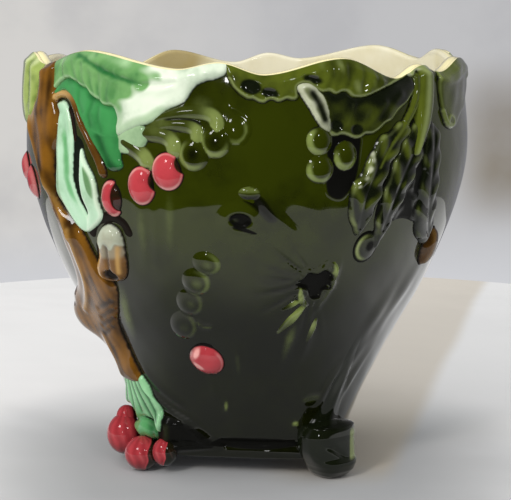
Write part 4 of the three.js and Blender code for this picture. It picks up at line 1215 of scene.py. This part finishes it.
LEAF_EDGE = [
    (-4.4, 231.5), (-3.8, 226.0), (-2.8, 222.0), (-0.9, 218.2), (0.6, 216.4), (1.7, 216.4), (3.0, 214.9),
    (4.3, 214.5), (5.4, 216.0), (6.4, 216.0), (7.4, 214.9), (8.6, 215.6), (9.6, 216.4), (10.8, 215.8),
    (12.0, 217.0),
]
OVER_EDGE = [
    (12.0, 222.6), (14.3, 223.9), (16.3, 220.9), (18.0, 219.4), (19.6, 220.0), (21.2, 218.2), (22.8, 219.6),
    (24.1, 219.2), (25.4, 216.9), (27.4, 216.4), (29.9, 217.2), (33.7, 220.2), (37.8, 223.4), (42.4, 227.2),
]
PALE_LINE = [
    (12.4, 217.2), (13.8, 212.6), (15.4, 207.6), (17.7, 201.6), (19.4, 198.8), (21.0, 197.2), (22.4, 198.2),
    (23.9, 197.4), (25.6, 195.9), (27.3, 196.2), (28.6, 197.8), (30.4, 197.8), (32.4, 199.8), (34.4, 203.0),
    (36.4, 204.6), (38.8, 209.6), (41.4, 212.8), (44.6, 219.5),
]


def dark_leaf(s):
    outline = s.outline(LEAF_EDGE + OVER_EDGE + [(44.2, 231), (44.4, 256), (20, 256), (-4.4, 256)], 3)
    body = 1.1 + 1.2 * shoulder(outline, 4.0)
    body = body + 0.55 * ripple(s.x, s.y, 15, 7.0) + 0.2 * ripple(s.x, s.y, 7, 2.0)
    deep = 0.05 + 0.3 * ripple(s.x * 1.4, s.y * 0.7, 12, 3.3)
    pale = 0.4 * np.maximum(ripple(s.x * 1.3, s.y * 0.8, 13, 2.4), 0) * ease((s.azimuth - 8) / 8)
    for centre, wide, high in (
        ((1.2, 222.4), 5.0, 3.6), ((5.6, 219.2), 4.2, 2.4), ((15.6, 226.0), 5.0, 2.0),
    ):
        _, inner, _, _ = s.oval(centre, wide, high, -14)
        body = body - 1.2 * ease(inner / 2.5 + 0.4)
        deep = np.maximum(deep, 1.3 * ease(inner / 2.2 + 0.5))
    for points in (
        [
            (24.6, 234), (24.9, 226), (23.6, 220.5),
        ], [(28.4, 234), (28.9, 226), (28.0, 219)], [(32.2, 232), (32.6, 226), (31.4, 220)],
        [(20.6, 234), (20.6, 228), (19.6, 222)], [(36.0, 230), (36.4, 226), (35.2, 223)],
    ):
        d, _, _ = s.line(points)
        body = body - 0.35 * crest(d, 1.6) + 0.15 * crest(d - 2.6, 1.4)
        deep = np.maximum(deep, 0.4 * crest(d, 1.9))
    lower, _, _ = s.line(LEAF_EDGE[1:] + OVER_EDGE)
    s.lay(outline, body, pale=np.maximum(pale, 0.75 * crest(lower - 1.0, 0.7)), deep=deep)
    s.settle(0.3, 1.1)


dark_relief("dark_leaf", (-7, 47, 210, None), dark_leaf)


def dark_leaf_fold(s):
    under = s.outline(OVER_EDGE[2:] + [(44.4, 224.5)] + PALE_LINE[::-1][:-4] + [(18.8, 208)], 3)
    body = 0.9 + 0.8 * shoulder(under, 3.0)
    lower, _, _ = s.line(PALE_LINE)
    deep = 0.6 + 0.25 * ripple(s.x, s.y, 12, 5.0) + 0.4 * ease((s.y - 206) / 12)
    pale = 0.8 * crest(lower - 0.8, 0.7)
    for points in ([(25.5, 213), (24.9, 208), (23.9, 203)], [(29.4, 209), (28.4, 204.5), (27.0, 200)],
                   [(34.4, 213), (32.0, 207), (29.4, 202)], [(39.5, 217), (36.5, 211), (34.6, 206)]):
        d, _, _ = s.line(points)
        body = body + 0.5 * crest(d, 2.0)
        pale = np.maximum(pale, 0.2 * crest(d, 1.7))
    for centre in ((21.2, 202.4), (26.3, 200.0)):
        _, inner, _, _ = s.oval(centre, 3.2, 2.6)
        body = body - 0.8 * ease(inner / 1.5 + 0.5)
        deep = np.maximum(deep, 1.3 * ease(inner / 1.5 + 0.6))
    s.lay(under, body, pale=pale, deep=deep)
    tip = s.outline([
        (11.8, 222.6), (13.6, 224.5), (15.6, 223.4), (17.2, 220.0), (18.6, 216.0), (19.2, 211.0),
        (19.5, 205.0), (19.6, 199.6), (17.8, 200.8), (16.0, 206.6), (14.4, 212.6), (12.8, 218.0),
    ], 4)
    groove, _, _ = s.line([(15.4, 219), (16.8, 214), (18.2, 206)])
    s.lay(tip, 1.2 + 1.4 * shoulder(tip, 3.2) - 0.8 * crest(groove, 1.2), pale=0.35 * crest(tip - 1.0, 0.8),
          tint=0.55 + 0.18 * ripple(s.x, s.y, 8, 3.0) + 0.3 * crest(tip - 1.2, 1.0),
          deep=0.85 * crest(groove, 2.2) + 0.15 + 0.2 * ease((207 - s.y) / 4))
    s.settle(0.3, 1.0)


dark_relief("dark_leaf_fold", (9, 48, 190, 230), dark_leaf_fold)


def drooping(s, outline_points, vein_points, rise, light, dark, teeth=4.2):
    """A leaf that hangs from the trunk: toothed, with a vein down it and soft lobes on each side."""
    depth = s.outline(outline_points)
    vein, along, side = s.line(vein_points, reach=40)
    phase = along * 60 / teeth * 2.2
    lobes = np.cos(phase + vein * 0.45)
    depth = depth + 0.9 + 0.5 * lobes
    body = 0.7 + rise * shoulder(depth, 5.0) + 0.28 * lobes * ease(vein / 2.5) - 0.6 * crest(vein, 1.2)
    # painted light: the edge on one side of the vein is paler, and the other side is painted darker as shade
    lit_side = ease(0.5 - 0.6 * side)
    edge = 0.45 * crest(depth - 1.1, 1.1) * (0.2 + 0.8 * lit_side)
    pale = light * (edge + 0.3 * np.maximum(lobes, 0) * ease(vein / 3) * (depth > 0))
    deep = dark + 0.4 + 0.5 * crest(vein, 1.5) - 0.3 * lobes + 0.25 * ripple(s.x, s.y, 12, 4.4)
    deep = deep + 0.4 * ease(1 - depth / 3) * (1 - lit_side)
    s.lay(depth, body, fall=0.9, base=0.2, pale=np.clip(pale, 0, 1), deep=np.clip(deep, 0, 1))


def hanging_leaf(s):
    drooping(s, [
        (39.5, 202.5), (35.0, 197.0), (32.3, 194.0), (30.8, 187.9), (28.6, 179.0), (26.4, 172.0),
        (25.4, 166), (25.8, 157.8), (27.4, 150.0), (28.9, 144.6), (30.4, 150.0), (32.0, 157.0),
        (33.4, 165.1), (34.8, 177.2), (38.4, 189.8), (42.0, 199),
    ], [(42.6, 206), (38.0, 197), (33.6, 186), (30.6, 173), (29.0, 160), (28.9, 149)], 2.0, 0.75, 0.2)
    stem, part, _ = s.line([(45.6, 214), (41.4, 204), (37.4, 196), (34.4, 188), (32.4, 180)])
    half = 2.4 - 1.3 * part
    s.lay(half - stem, 0.9 + 1.8 * shoulder(half - stem, half), pale=0.3 * crest(stem, 0.8), deep=0.2)
    # a soft painted highlight, white, over the leaf's left edge
    white = s.outline([
        (26.0, 170.4), (28.0, 177.0), (28.9, 184.0), (29.4, 191.0), (31.4, 189.0), (31.4, 182.0),
        (29.8, 174.4), (27.8, 169.6),
    ], 4)
    soft = 0.9 * ease(white / 3.0 + 0.2) * (0.6 + 0.4 * ripple(s.x, s.y, 6, 1.0))
    s.marks["tint"] = np.clip(s.marks["tint"] + soft, 0, 1)
    s.marks["deep"] = s.marks["deep"] * (1 - soft)
    s.lift = s.lift + 0.7 * ease(white / 2.5)
    s.settle(0.2, 1.2)


dark_relief("hanging_leaf", (21, 50, 139, 219), hanging_leaf)


def hanging_leaves(s):
    # painted shade in the gap behind the leaves
    gap = s.outline([
        (41.0, 204), (37.4, 192), (34.6, 178), (32.8, 160), (33.0, 152), (36.0, 147), (42, 150), (48, 147),
        (55, 142), (54, 166), (52.6, 190), (49, 203),
    ])
    s.lay(gap - 1.5, 0.5 + 0.5 * np.maximum(ripple(s.x, s.y, 10, 2.0), 0), deep=1.0, pool=0.45, fall=0.8)
    drooping(s, [
        (44.4, 202), (40.8, 195.3), (38.2, 187), (36.4, 178.2), (34.9, 168.3), (34.2, 157.0), (34.4, 146.0),
        (35.6, 137.0), (37.2, 144.0), (38.6, 153.0), (41.0, 163.5), (43.6, 174), (46.0, 186.6),
        (47.6, 201.8),
    ], [(46.6, 204), (43.4, 190), (40.0, 176), (37.4, 161), (36.0, 147)], 2.2, 0.7, 0.35)
    drooping(s, [
        (48.6, 203), (47.6, 194), (47.0, 184), (47.2, 172), (47.4, 160), (48.4, 148.8), (51.6, 140),
        (56.6, 133.7), (57.0, 142), (55.6, 154), (54.2, 166.1), (53.4, 184.3), (52.4, 198),
    ], [(50.6, 203), (50.0, 186), (50.6, 168), (52.4, 152), (55.6, 140)], 2.4, 0.45, 0.5)
    _, _, u, v = round_cherry(s, (32.6, 137.0), 7.6, 9.0, 1.6, 16, lit=(-1.0, 0.1), ring=0.9, base=0.1,
                              fall=0.6, deep=0.5)
    # painted shade on the cherry's right side
    s.stain("pool", 1.2 * crest(np.hypot((u - 0.25) / 0.42, (v - 0.05) / 0.4), 1.0))
    for centre in ((41.6, 170.0), (44.2, 152.0), (49.4, 176.0)):
        _, inner, _, _ = s.oval(centre, 2.6, 4.2, 20)
        s.stain("deep", ease(inner / 1.6 + 0.5))
    s.settle(0.25, 1.3)


dark_relief("hanging_leaves", (24, 61, 124, 210), hanging_leaves)


def side_leaf(s):
    outline = s.outline([
        (55.4, 250), (55.0, 226), (55.0, 216), (56.0, 207), (59.6, 198.6), (62.6, 198.0), (67.0, 203.6),
        (73.4, 210.4), (78.0, 221), (78.6, 234), (78, 250),
    ])
    body = 0.9 + 1.3 * shoulder(outline, 4.0) + 0.3 * ripple(s.x, s.y, 16, 1.5)
    lap, _, side = s.line([(54.5, 224), (60.0, 221.4), (66.0, 223.0), (73.0, 225.6), (80, 222)], reach=80)
    upper = ease(0.5 + side * lap / 3)
    body = body + 1.2 * upper
    curl, _, _ = s.line([
        (56.0, 207), (57.6, 200.4), (60.4, 198.8), (61.4, 202.0), (59.4, 204.4), (58.2, 202.0),
    ])
    mottle = 0.2 * np.maximum(ripple(s.x, s.y, 12, 4.0), 0)
    s.lay(outline, body, pale=0.6 * crest(outline - 1.0, 0.8) + 0.2 * upper + mottle,
          deep=0.15 * upper + 0.5 * (1 - upper), tint=0.2 * (1 - upper))
    s.lay(1.3 - curl, 1.4 + 1.3 * shoulder(1.3 - curl, 1.3), pale=0.6)
    s.settle(0.3, 1.1)


dark_relief("side_leaf", (52, 82, 194, None), side_leaf, 0.6)


def knob(s):
    out, depth, u, _ = s.oval((60, 132), 6.2, 10.4)
    body = 0.9 + 4.8 * np.sqrt(np.clip(1 - out**2, 0, 1))
    # painted highlight down the knob's left side and painted shade down its right
    s.lay(depth, body, pale=0.3 * crest(u + 0.35, 0.3) + 0.05, deep=0.7 + 0.5 * crest(u - 0.4, 0.3))
    s.settle(0.3, 1.4)


relief("knob", (54, 66, 117, 147), knob, 0.55, BROWN, "brown_glaze")


# ---- Low forms in the middle of the wall ---------------------------------------------------------


def sunk(s, depth, edge=1.2):
    """Glaze lies thick and black in a hollow of the wall, just over its floor."""
    inside = ease(depth / edge + 0.45)
    s.lift = np.where(depth > -edge, s.lift + (0.2 - s.lift) * inside, s.lift)
    s.depth = np.maximum(s.depth, depth)
    s.marks["pale"] = s.marks["pale"] * (1 - inside)
    s.stain("pool", 1.25 * inside)


def bud(s):
    leaf = s.outline([
        (1.6, 176), (4.4, 173), (7.0, 165), (10.4, 157), (15.0, 146), (17.6, 136), (16.6, 127), (13.0, 126),
        (9.0, 134), (5.6, 142), (3.8, 150), (3.0, 158), (1.6, 166),
    ])
    ridge, _, _ = s.line([(3.6, 168), (6.6, 158), (11.0, 148), (15.0, 136)])
    s.lay(leaf, 0.4 * ease(leaf / 7) + 0.1 * crest(ridge, 3.0) * ease(leaf / 2), fall=0.4, base=0.0,
          pale=0.08 * crest(ridge, 1.8))
    _, depth, _, v = s.oval((-1.8, 155.0), 12.5, 10.5)
    # painted highlight on the upper side of the bud's dome and of its lid
    s.lay(depth, 1.7 * ease(depth / 9), fall=0.4, base=0.0, pale=0.12 * ease(depth / 3) * ease(v))
    lid, above, _, lv = s.oval((0.9, 168.8), 5.4, 2.9)
    s.lay(above, 0.2 + 1.3 * np.sqrt(np.clip(1 - lid**2, 0, 1)), pale=0.5 * ease(lv * 2 + 0.6), fall=0.7,
          base=0.1)
    sunk(s, s.oval(EYE, 6.0, 4.0, -8)[1])
    green, _, _, _ = s.oval((-2.6, 153.8), 3.2, 1.9)
    s.marks["pool"] = s.marks["pool"] * (1 - 0.4 * crest(green, 0.8))
    wedge = s.outline([
        (-1.6, 166.6), (3.4, 167.6), (5.6, 162.0), (7.6, 154.5), (5.4, 153.0), (2.0, 160.0),
    ], 3)
    s.stain("deep", 0.9 * ease(wedge / 2 + 0.3))
    s.stain("pool", 0.5 * ease(wedge / 2 - 0.2))
    sunk(s, s.outline([(-3.6, 150.8), (0.6, 149.8), (4.0, 145.4), (1.6, 146.8), (-1.6, 148.6)], 3), 0.7)


soft_relief("bud", (-10, 21, 120, 181), bud)


def blossom(s):
    away, turn = round_blossom(s)
    petal = 14.0 * (0.6 + 0.4 * np.abs(np.cos(5 * turn / 2 + 0.3)) ** 1.2)
    ribs = 0.15 * np.cos(turn * 20) * ease((away - 5) / 4)
    s.lay(petal - away, 0.8 * ease((petal - away) / 6) + ribs, fall=0.4, base=0.0)
    for points, width, thin in (
        ([(17.6, 105.4), (15.2, 99.8), (13.0, 95.0), (10.4, 89.8)], 2.4, 0.9),
        ([(16.0, 109.0), (13.6, 106.0), (10.6, 102.8)], 1.4, 0.7),
        ([(15.2, 117.0), (15.6, 112.0), (16.6, 107.6), (18.4, 105.0)], 1.6, 1.0),
        ([(22.4, 96.4), (22.0, 90.4), (21.0, 83.5)], 1.6, 0.7),
        ([(24.0, 129.5), (24.8, 125.5), (24.7, 121.5), (23.8, 117.6)], 1.4, 0.8),
    ):
        d, along, _ = s.line(points)
        half = width * (0.25 + 0.75 * np.sin(math.pi * np.clip(along, 0.04, 0.96)))
        s.lay(half - d, 0.1 + 1.4 * shoulder(half - d, half), base=0.0,
              pale=thin * (0.3 + 0.7 * crest(along - 0.3, 0.3)))
    sunk(s, s.outline(HEART, 4), 0.9)


soft_relief("blossom", (6, 30, 80, 134), blossom)


# ---- Feet ------------------------------------------------------------------------------------


def foot_stalks(s):
    outline = s.outline([
        (-57.6, 57.5), (-60.0, 50.0), (-63.4, 43.6), (-67.4, 37.2), (-63.6, 35.6), (-59.6, 36.6),
        (-58.0, 31.4), (-55.4, 27.6), (-52.4, 30.4), (-49.6, 31.8), (-46.2, 31.4), (-43.0, 28.6),
        (-40.8, 26.6), (-39.0, 36.0), (-42.0, 45.6), (-46.2, 57.0),
    ], 2)
    body = 0.8 + 2.8 * shoulder(outline, 4.5)
    deep = 0.06 + 0.12 * ripple(s.x, s.y * 0.5, 9, 2.0)
    pale = 0.35 * crest(outline - 0.9, 0.8)
    for points, cut in (
        ([
            (-54.6, 57), (-55.0, 47), (-56.2, 36), (-57.4, 29),
        ], 1.3), ([(-52.6, 57), (-51.8, 47), (-50.2, 36)], 0.7),
        ([
            (-50.8, 57), (-48.8, 46), (-45.6, 35), (-44.0, 30),
        ], 1.3), ([(-48.8, 57), (-44.8, 46), (-41.4, 33)], 1.1),
        ([(-56.0, 57), (-58.0, 48), (-61.0, 40), (-61.6, 36.6)], 0.9),
    ):
        d, _, _ = s.line(points)
        body = body - cut * crest(d, 0.9)
        deep = np.maximum(deep, 0.85 * crest(d, 0.9))
        pale = np.maximum(pale, 0.3 * crest(d - 2.2, 1.0))
    s.lay(outline, body, pale=pale, deep=deep,
          tint=0.3 + 0.5 * ease((44 - s.y) / 14) * ease((-47 - s.azimuth) / 4))
    sepal = s.outline([
        (-60.6, 26.4), (-55.0, 28.6), (-51.6, 30.6), (-47.0, 30.0), (-42.6, 27.0), (-42.8, 21.6),
        (-46.0, 18.4), (-50.0, 19.4), (-54.0, 17.6), (-58.6, 21.0),
    ], 2)
    s.lay(sepal, 0.9 + 4.6 * shoulder(sepal, 7.0), pale=0.25 * crest(sepal - 1.0, 0.9),
          deep=0.25 + 0.5 * ease((s.azimuth + 49) / 4),
          tint=0.7)
    s.settle(0.3, 1.1)


relief("foot_stalks", (CORNER - 22, CORNER + 16, 13, 60), foot_stalks, 0.5, STALK_GREEN, "mint_glaze")


def foot_cherry(lobes):
    """Thick cherries of a foot with soft creases; the ground is at 0."""
    parts = []
    for azimuth, reach, height, wide, high, shade, limit in lobes:
        start()
        bpy.ops.mesh.primitive_uv_sphere_add(segments=64, ring_count=40, radius=1)
        piece = bpy.context.object
        co = read(piece.data)
        x, y, z = co.T
        turn = np.arctan2(y, x)
        lobed = 1 + 0.012 * np.cos(3 * turn + 1.0) * (1 - z**2)
        facing = x * math.sin(azimuth * DEG) - y * math.cos(azimuth * DEG)
        across = x * math.cos(azimuth * DEG) + y * math.sin(azimuth * DEG)
        co = co * lobed[:, None] * (wide, wide, high) + polar(reach, azimuth, height)
        co[:, 2] = np.maximum(co[:, 2], 0.0)
        write(piece.data, co * MM)
        streak = 0.5 + 0.5 * np.sin(turn * 11 + 2 * z + 0.8 * np.sin(5 * z))
        # pale glaze streaks, and painted light on one side
        mark(piece.data, "pale", 0.26 * ease(1 - np.abs(z)) * streak + 0.2 * ease((-across - 0.6) * 3))
        covered = shade * ease((x - limit - 0.14 * z + 0.05 * np.sin(6 * z)) * 4 + 0.5)
        mark(piece.data, "tint", covered)
        # painted shade darkens the lower half
        mark(piece.data, "deep", (0.62 + 0.3 * ease(-z) - 0.25 * streak) * (1 - ease(covered * 4)))
        # painted shade where the cherry turns towards the wall and at its underside
        mark(piece.data, "pool", 0.8 * ease((-facing - 0.2) * 3) + 0.7 * ease((-z - 0.8) * 6))
        parts.append(piece)
    start()
    for piece in parts:
        piece.select_set(True)
    bpy.context.view_layer.objects.active = parts[0]
    if len(parts) > 1:
        bpy.ops.object.join()
    return bpy.context.object


def foot_cherries(name, front, back):
    for side, lobes in (("front", front), ("back", back)):
        piece = foot_cherry(lobes)
        piece.name = piece.data.name = f"{name}_{side}_clay"
        if side == "back":
            co = read(piece.data)
            co[:, :2] *= -1
            write(piece.data, co)
        place(piece, CHERRY_RED, "cherry_red_glaze", [f"{name}_{side}"])


foot_cherries(
    "foot_cherry_outer",
    [(CORNER - 15.6, 77.4, 16.2, 10.4, 12.0, 0.0, 1.0), (CORNER - 16.8, 75.6, 25.6, 6.2, 7.2, 0.0, 1.0)],
    [(CORNER + 30, 71.5, 16.5, 10.0, 10.6, 0.0, 1.0)],
)
foot_cherries("foot_cherry_middle", [(CORNER + 1.2, 77.0, 9.9, 10.2, 9.9, 1.0, 0.38)],
              [(CORNER + 3, 69.0, 9.2, 8.6, 9.2, 1.0, -1.2)])
foot_cherries("foot_cherry_inner", [(CORNER + 12.0, 72.0, 12.4, 7.2, 8.2, 1.0, 0.1)],
              [(CORNER + 15, 72.0, 12.0, 7.8, 8.0, 0.5, 0.1)])

LEAF_FOOT = CORNER + 90
FOOT_REACH = 75.0
FOOT_HALF_WIDTH = 16.6
FOOT_HALF_DEPTH = 13.6


def leaf_foot():
    """A thick rolled leaf under the corner: a flat dark face over a rolled rim."""
    start()
    bpy.ops.mesh.primitive_uv_sphere_add(segments=144, ring_count=96, radius=1)
    block = bpy.context.object
    co = read(block.data)
    turn = np.arctan2(co[:, 1], co[:, 0])
    dip = np.arccos(np.clip(-co[:, 2], -1, 1)) / math.pi
    at = [0, 0.12, 0.16, 0.22, 0.30, 0.38, 0.55, 0.75, 0.88, 1]
    rise = np.interp(dip, at, [0, 0, 0.4, 1.9, 4.6, 8.0, 16.0, 25.0, 30.6, 33.0])
    wide = np.interp(dip, at, [0, 0.50, 0.58, 0.74, 0.86, 0.93, 0.98, 1.0, 0.90, 0])
    deep = np.interp(dip, at, [0, 0.46, 0.56, 0.76, 0.93, 1.0, 0.97, 0.98, 0.86, 0])
    power = 2.8
    c, s = np.cos(turn), np.sin(turn)
    reach = (np.abs(c) ** power + np.abs(s) ** power) ** (-1 / power)
    x = reach * c * FOOT_HALF_WIDTH * wide
    y = reach * s * FOOT_HALF_DEPTH * deep
    z = rise
    outward = ease((-y - 3) / 5)
    y = y + 1.2 * ease((z - 9.6) / 3.0) * outward * ease((30 - z) / 8)
    fold = (x + 12.0) * 0.52 + (z - 22.0) * 0.85 + 0.8 * np.sin(x / 3)
    folded = crest(fold, 1.8) * outward * ease((z - 11) / 4) * ease((7 - np.abs(x + 3)) / 6 + 0.4)
    y = y + 0.7 * folded
    low = ease((17 - z) / 17)
    x = np.where(x < 0, x * (1 - 0.30 * low), x * (1 - 0.10 * low)) + 1.0 * low
    x = x + 0.7 * np.sin(z / 5.0) * ease(z / 8)
    # the inner side stays within the clay of the wall
    y = np.minimum(y, 8.2 - 0.14 * np.maximum(z - INNER_FLOOR, 0) + 0.9 * np.maximum(15 - z, 0))
    local = np.stack([x, y - FOOT_REACH, z], 1)
    a = LEAF_FOOT * DEG
    turned = np.stack([
        local[:, 0] * math.cos(a) - local[:, 1] * math.sin(a),
        local[:, 0] * math.sin(a) + local[:, 1] * math.cos(a), z,
    ], 1)
    write(block.data, turned * MM)
    # a painted highlight down the foot's right edge
    painted_edge_highlight = ease((turned[:, 0] - turned[:, 0].max() + 5.0) / 1.6) * ease((z - 9) / 4) * ease((31 - z) / 5)
    rosy = 0.5 + 0.5 * np.sin(x / 4.0 + 1.0) * np.sin(z / 5.0)
    mark(block.data, "pale", 0.18 * crest(z - 8.0, 1.2) * outward * rosy + 0.75 * painted_edge_highlight)
    mark(block.data, "deep", 1.0 - 0.7 * painted_edge_highlight)
    mark(block.data, "tint", 0 * z)
    mark(block.data, "pool", 0.55 * folded * rosy + 0.6 * crest(z - 31.0, 2.0) * outward)

    def ridge(s):
        d, along, _ = s.line([(36.8, 24), (37.2, 30), (38.2, 37), (40.4, 50), (42.4, 65), (43.6, 84)])
        half = np.interp(along, [0, 0.12, 0.24, 0.48, 0.75, 1], [15, 13.5, 11, 7.5, 5.0, 2.4])
        depth = half - d
        s.lay(depth, 1.8 * ease(depth / half) * ease((1 - along) * 2.2), fall=0.4, base=0.0, deep=0.75)

    spur = pressed("leaf_foot_ridge", (20, 56, 20, 88), ridge, 0.6, flange=1.2)
    spur.data.materials.clear()
    start()
    spur.select_set(True)
    block.select_set(True)
    bpy.context.view_layer.objects.active = block
    bpy.ops.object.join()
    both_halves(bpy.context.object, "leaf_foot", DARK_LEAF, "dark_leaf_glaze")


leaf_foot()


# ---- Floor, world, lamps and camera --------------------------------------------------------------

FLOOR_RADIUS = 0.50
FLOOR_NORTH = 0.16
CAMERA_PLACE = (0.005, -0.910, 0.255)
CAMERA_DOWN = 8.4
FOCAL_PIXELS = 1545.0
PICTURE_PIXELS = 511.0
SENSOR_WIDTH = 36.0


def pale_cloth():
    """A pale cloth with painted shade round the jardiniere and just in front of its feet,
    and a warm painted shadow at the front right.
    """
    f = Finish("pale_cloth")
    soft = f.noise(5.0, 4.0, 0.5)
    east, north = (f.node("ShaderNodeSeparateXYZ", {}, {0: f.place()}, output=k) for k in (0, 1))
    reach = (east * east + (north + FLOOR_NORTH) * (north + FLOOR_NORTH)) ** 0.5
    tone = f.mix(f.between(soft, 0.3, 0.7), colour("cdced1"), colour("d3d4d6"))
    # painted shade round the jardiniere: the cloth is paler beyond it
    far = f.between(reach + 0.05 * soft, 0.17, 0.23) * f.between(north, -0.60, -0.10)
    tone = f.mix(far, tone, colour("dfdfe1"))
    sideways = f.node("ShaderNodeMath", {"operation": "ABSOLUTE"}, {0: east})
    # painted shade just in front of the feet
    front_shade = f.between(north, -0.37, -0.28) * f.between(sideways, 0.20, 0.08)
    front_shade = front_shade * f.between(north, -0.04, -0.14)
    tone = f.mix(0.65 * front_shade, tone, colour("85888c"))
    shadow = f.between(0.079 + 0.23 * (north + 0.21) + 0.01 * soft - east, -0.006, 0.008)
    shadow = shadow * f.between(north, -0.25, -0.19) * f.between(east, 0.0, 0.04)
    tone = f.mix(0.45 * shadow, tone, colour("b3a283"))
    fold = f.noise(9.0, 2.0, 0.5)
    bump = f.node("ShaderNodeBump", {}, {"Strength": 0.5, "Distance": 0.01, "Height": fold})
    return f.surface(Base_Color=tone, Roughness=0.85, Normal=bump)


def cloth_floor():
    start()
    bpy.ops.mesh.primitive_circle_add(
        vertices=160, radius=FLOOR_RADIUS, fill_type="TRIFAN", location=(0, FLOOR_NORTH, 0))
    floor = bpy.context.object
    floor.name = "floor"
    floor.data.materials.append(pale_cloth())


def room():
    """The backdrop that the camera sees, the room that the glaze mirrors and the light that it sheds."""
    world = bpy.data.worlds.new("room")
    bpy.context.scene.world = world
    w = Finish("room", world)
    way = w.node("ShaderNodeTexCoord", output=0)
    x, y, z = (w.node("ShaderNodeSeparateXYZ", {}, {0: way}, output=k) for k in range(3))
    from_camera, from_glaze = (w.node("ShaderNodeLightPath", output=k) for k in (0, 3))
    # painted light: the backdrop is lighter to the left
    backdrop = w.mix(w.between(x + 0.25 * z, -0.17, 0.06), colour("d3d1ce"), colour("bfbfc1"))
    # painted shadow of the jardiniere on the backdrop, to its right
    brown = w.between(x, 0.115, 0.155) * w.between(z, -0.14, -0.095) * w.between(z, -0.015, -0.06)
    backdrop = w.mix(0.9 * brown, backdrop, colour("857d70"))
    cloth = w.noise(14.0, 4.0, 0.55, way)
    backdrop = w.mix(0.35 * w.between(cloth, 0.4, 0.7), backdrop, colour("a9a9ad"))
    backdrop = w.mix(w.between(z, -0.115, -0.175), backdrop, colour("cfd0d4"))
    behind = w.between(y, -0.42, 0.25)
    sides = w.mix(w.between(x, 0.25, 0.8), colour("858589"), (0.36, 0.35, 0.36, 1.0))
    seen = w.mix(behind * w.between(z, 0.9, 0.3), colour("0f0e0c"), sides)
    toward = -0.42 * x - 0.30 * y + 0.86 * z
    soft_light = w.mix(w.between(toward, -0.7, 1.1), (0.34, 0.34, 0.35, 1.0), (1.22, 1.22, 1.19, 1.0))
    shown = w.mix(from_glaze, soft_light, seen)
    shown = w.mix(from_camera, shown, backdrop)
    background = w.node("ShaderNodeBackground", {}, {"Color": shown, "Strength": 1.0})
    out = w.tree.nodes.new("ShaderNodeOutputWorld")
    w.tree.links.new(background.socket, out.inputs[0])


def lamp(name, place_at, aim, size, power, tone="ffffff", mirrored=True):
    data = bpy.data.lights.new(name, "AREA")
    data.shape = "RECTANGLE"
    data.size, data.size_y = size
    data.energy = power
    data.color = colour(tone)[:3]
    made = bpy.data.objects.new(name, data)
    bpy.context.scene.collection.objects.link(made)
    made.visible_glossy = mirrored
    made.location = place_at
    way = Vector(np.array(aim) - np.array(place_at))
    made.rotation_euler = way.to_track_quat("-Z", "Y").to_euler()


def lamps():
    lamp("key", (-0.75, -1.20, 0.85), (0, 0, 0.10), (0.30, 0.30), 9.0, "fff6ea", False)
    lamp("left_lamp", (-0.70, -1.05, 1.05), (0, 0, 0.12), (0.30, 0.30), 4.2)
    lamp("right_lamp", (0.55, -1.20, 0.80), (0, 0, 0.12), (0.11, 0.11), 1.7)
    lamp("window", (-0.221, -1.252, 0.300), (0, -0.125, 0.21), (0.07, 0.07), 0.55)


def photo_camera():
    camera = bpy.data.cameras.new("camera")
    eye = bpy.data.objects.new("camera", camera)
    bpy.context.scene.collection.objects.link(eye)
    eye.location = CAMERA_PLACE
    eye.rotation_euler = ((90 - CAMERA_DOWN) * DEG, 0, 0)
    camera.sensor_width = SENSOR_WIDTH
    camera.lens = FOCAL_PIXELS / PICTURE_PIXELS * SENSOR_WIDTH
    camera.clip_start, camera.clip_end = 0.01, 50.0
    bpy.context.scene.camera = eye
    bpy.context.scene.view_settings.view_transform = "Standard"


cloth_floor()
room()
lamps()
photo_camera()
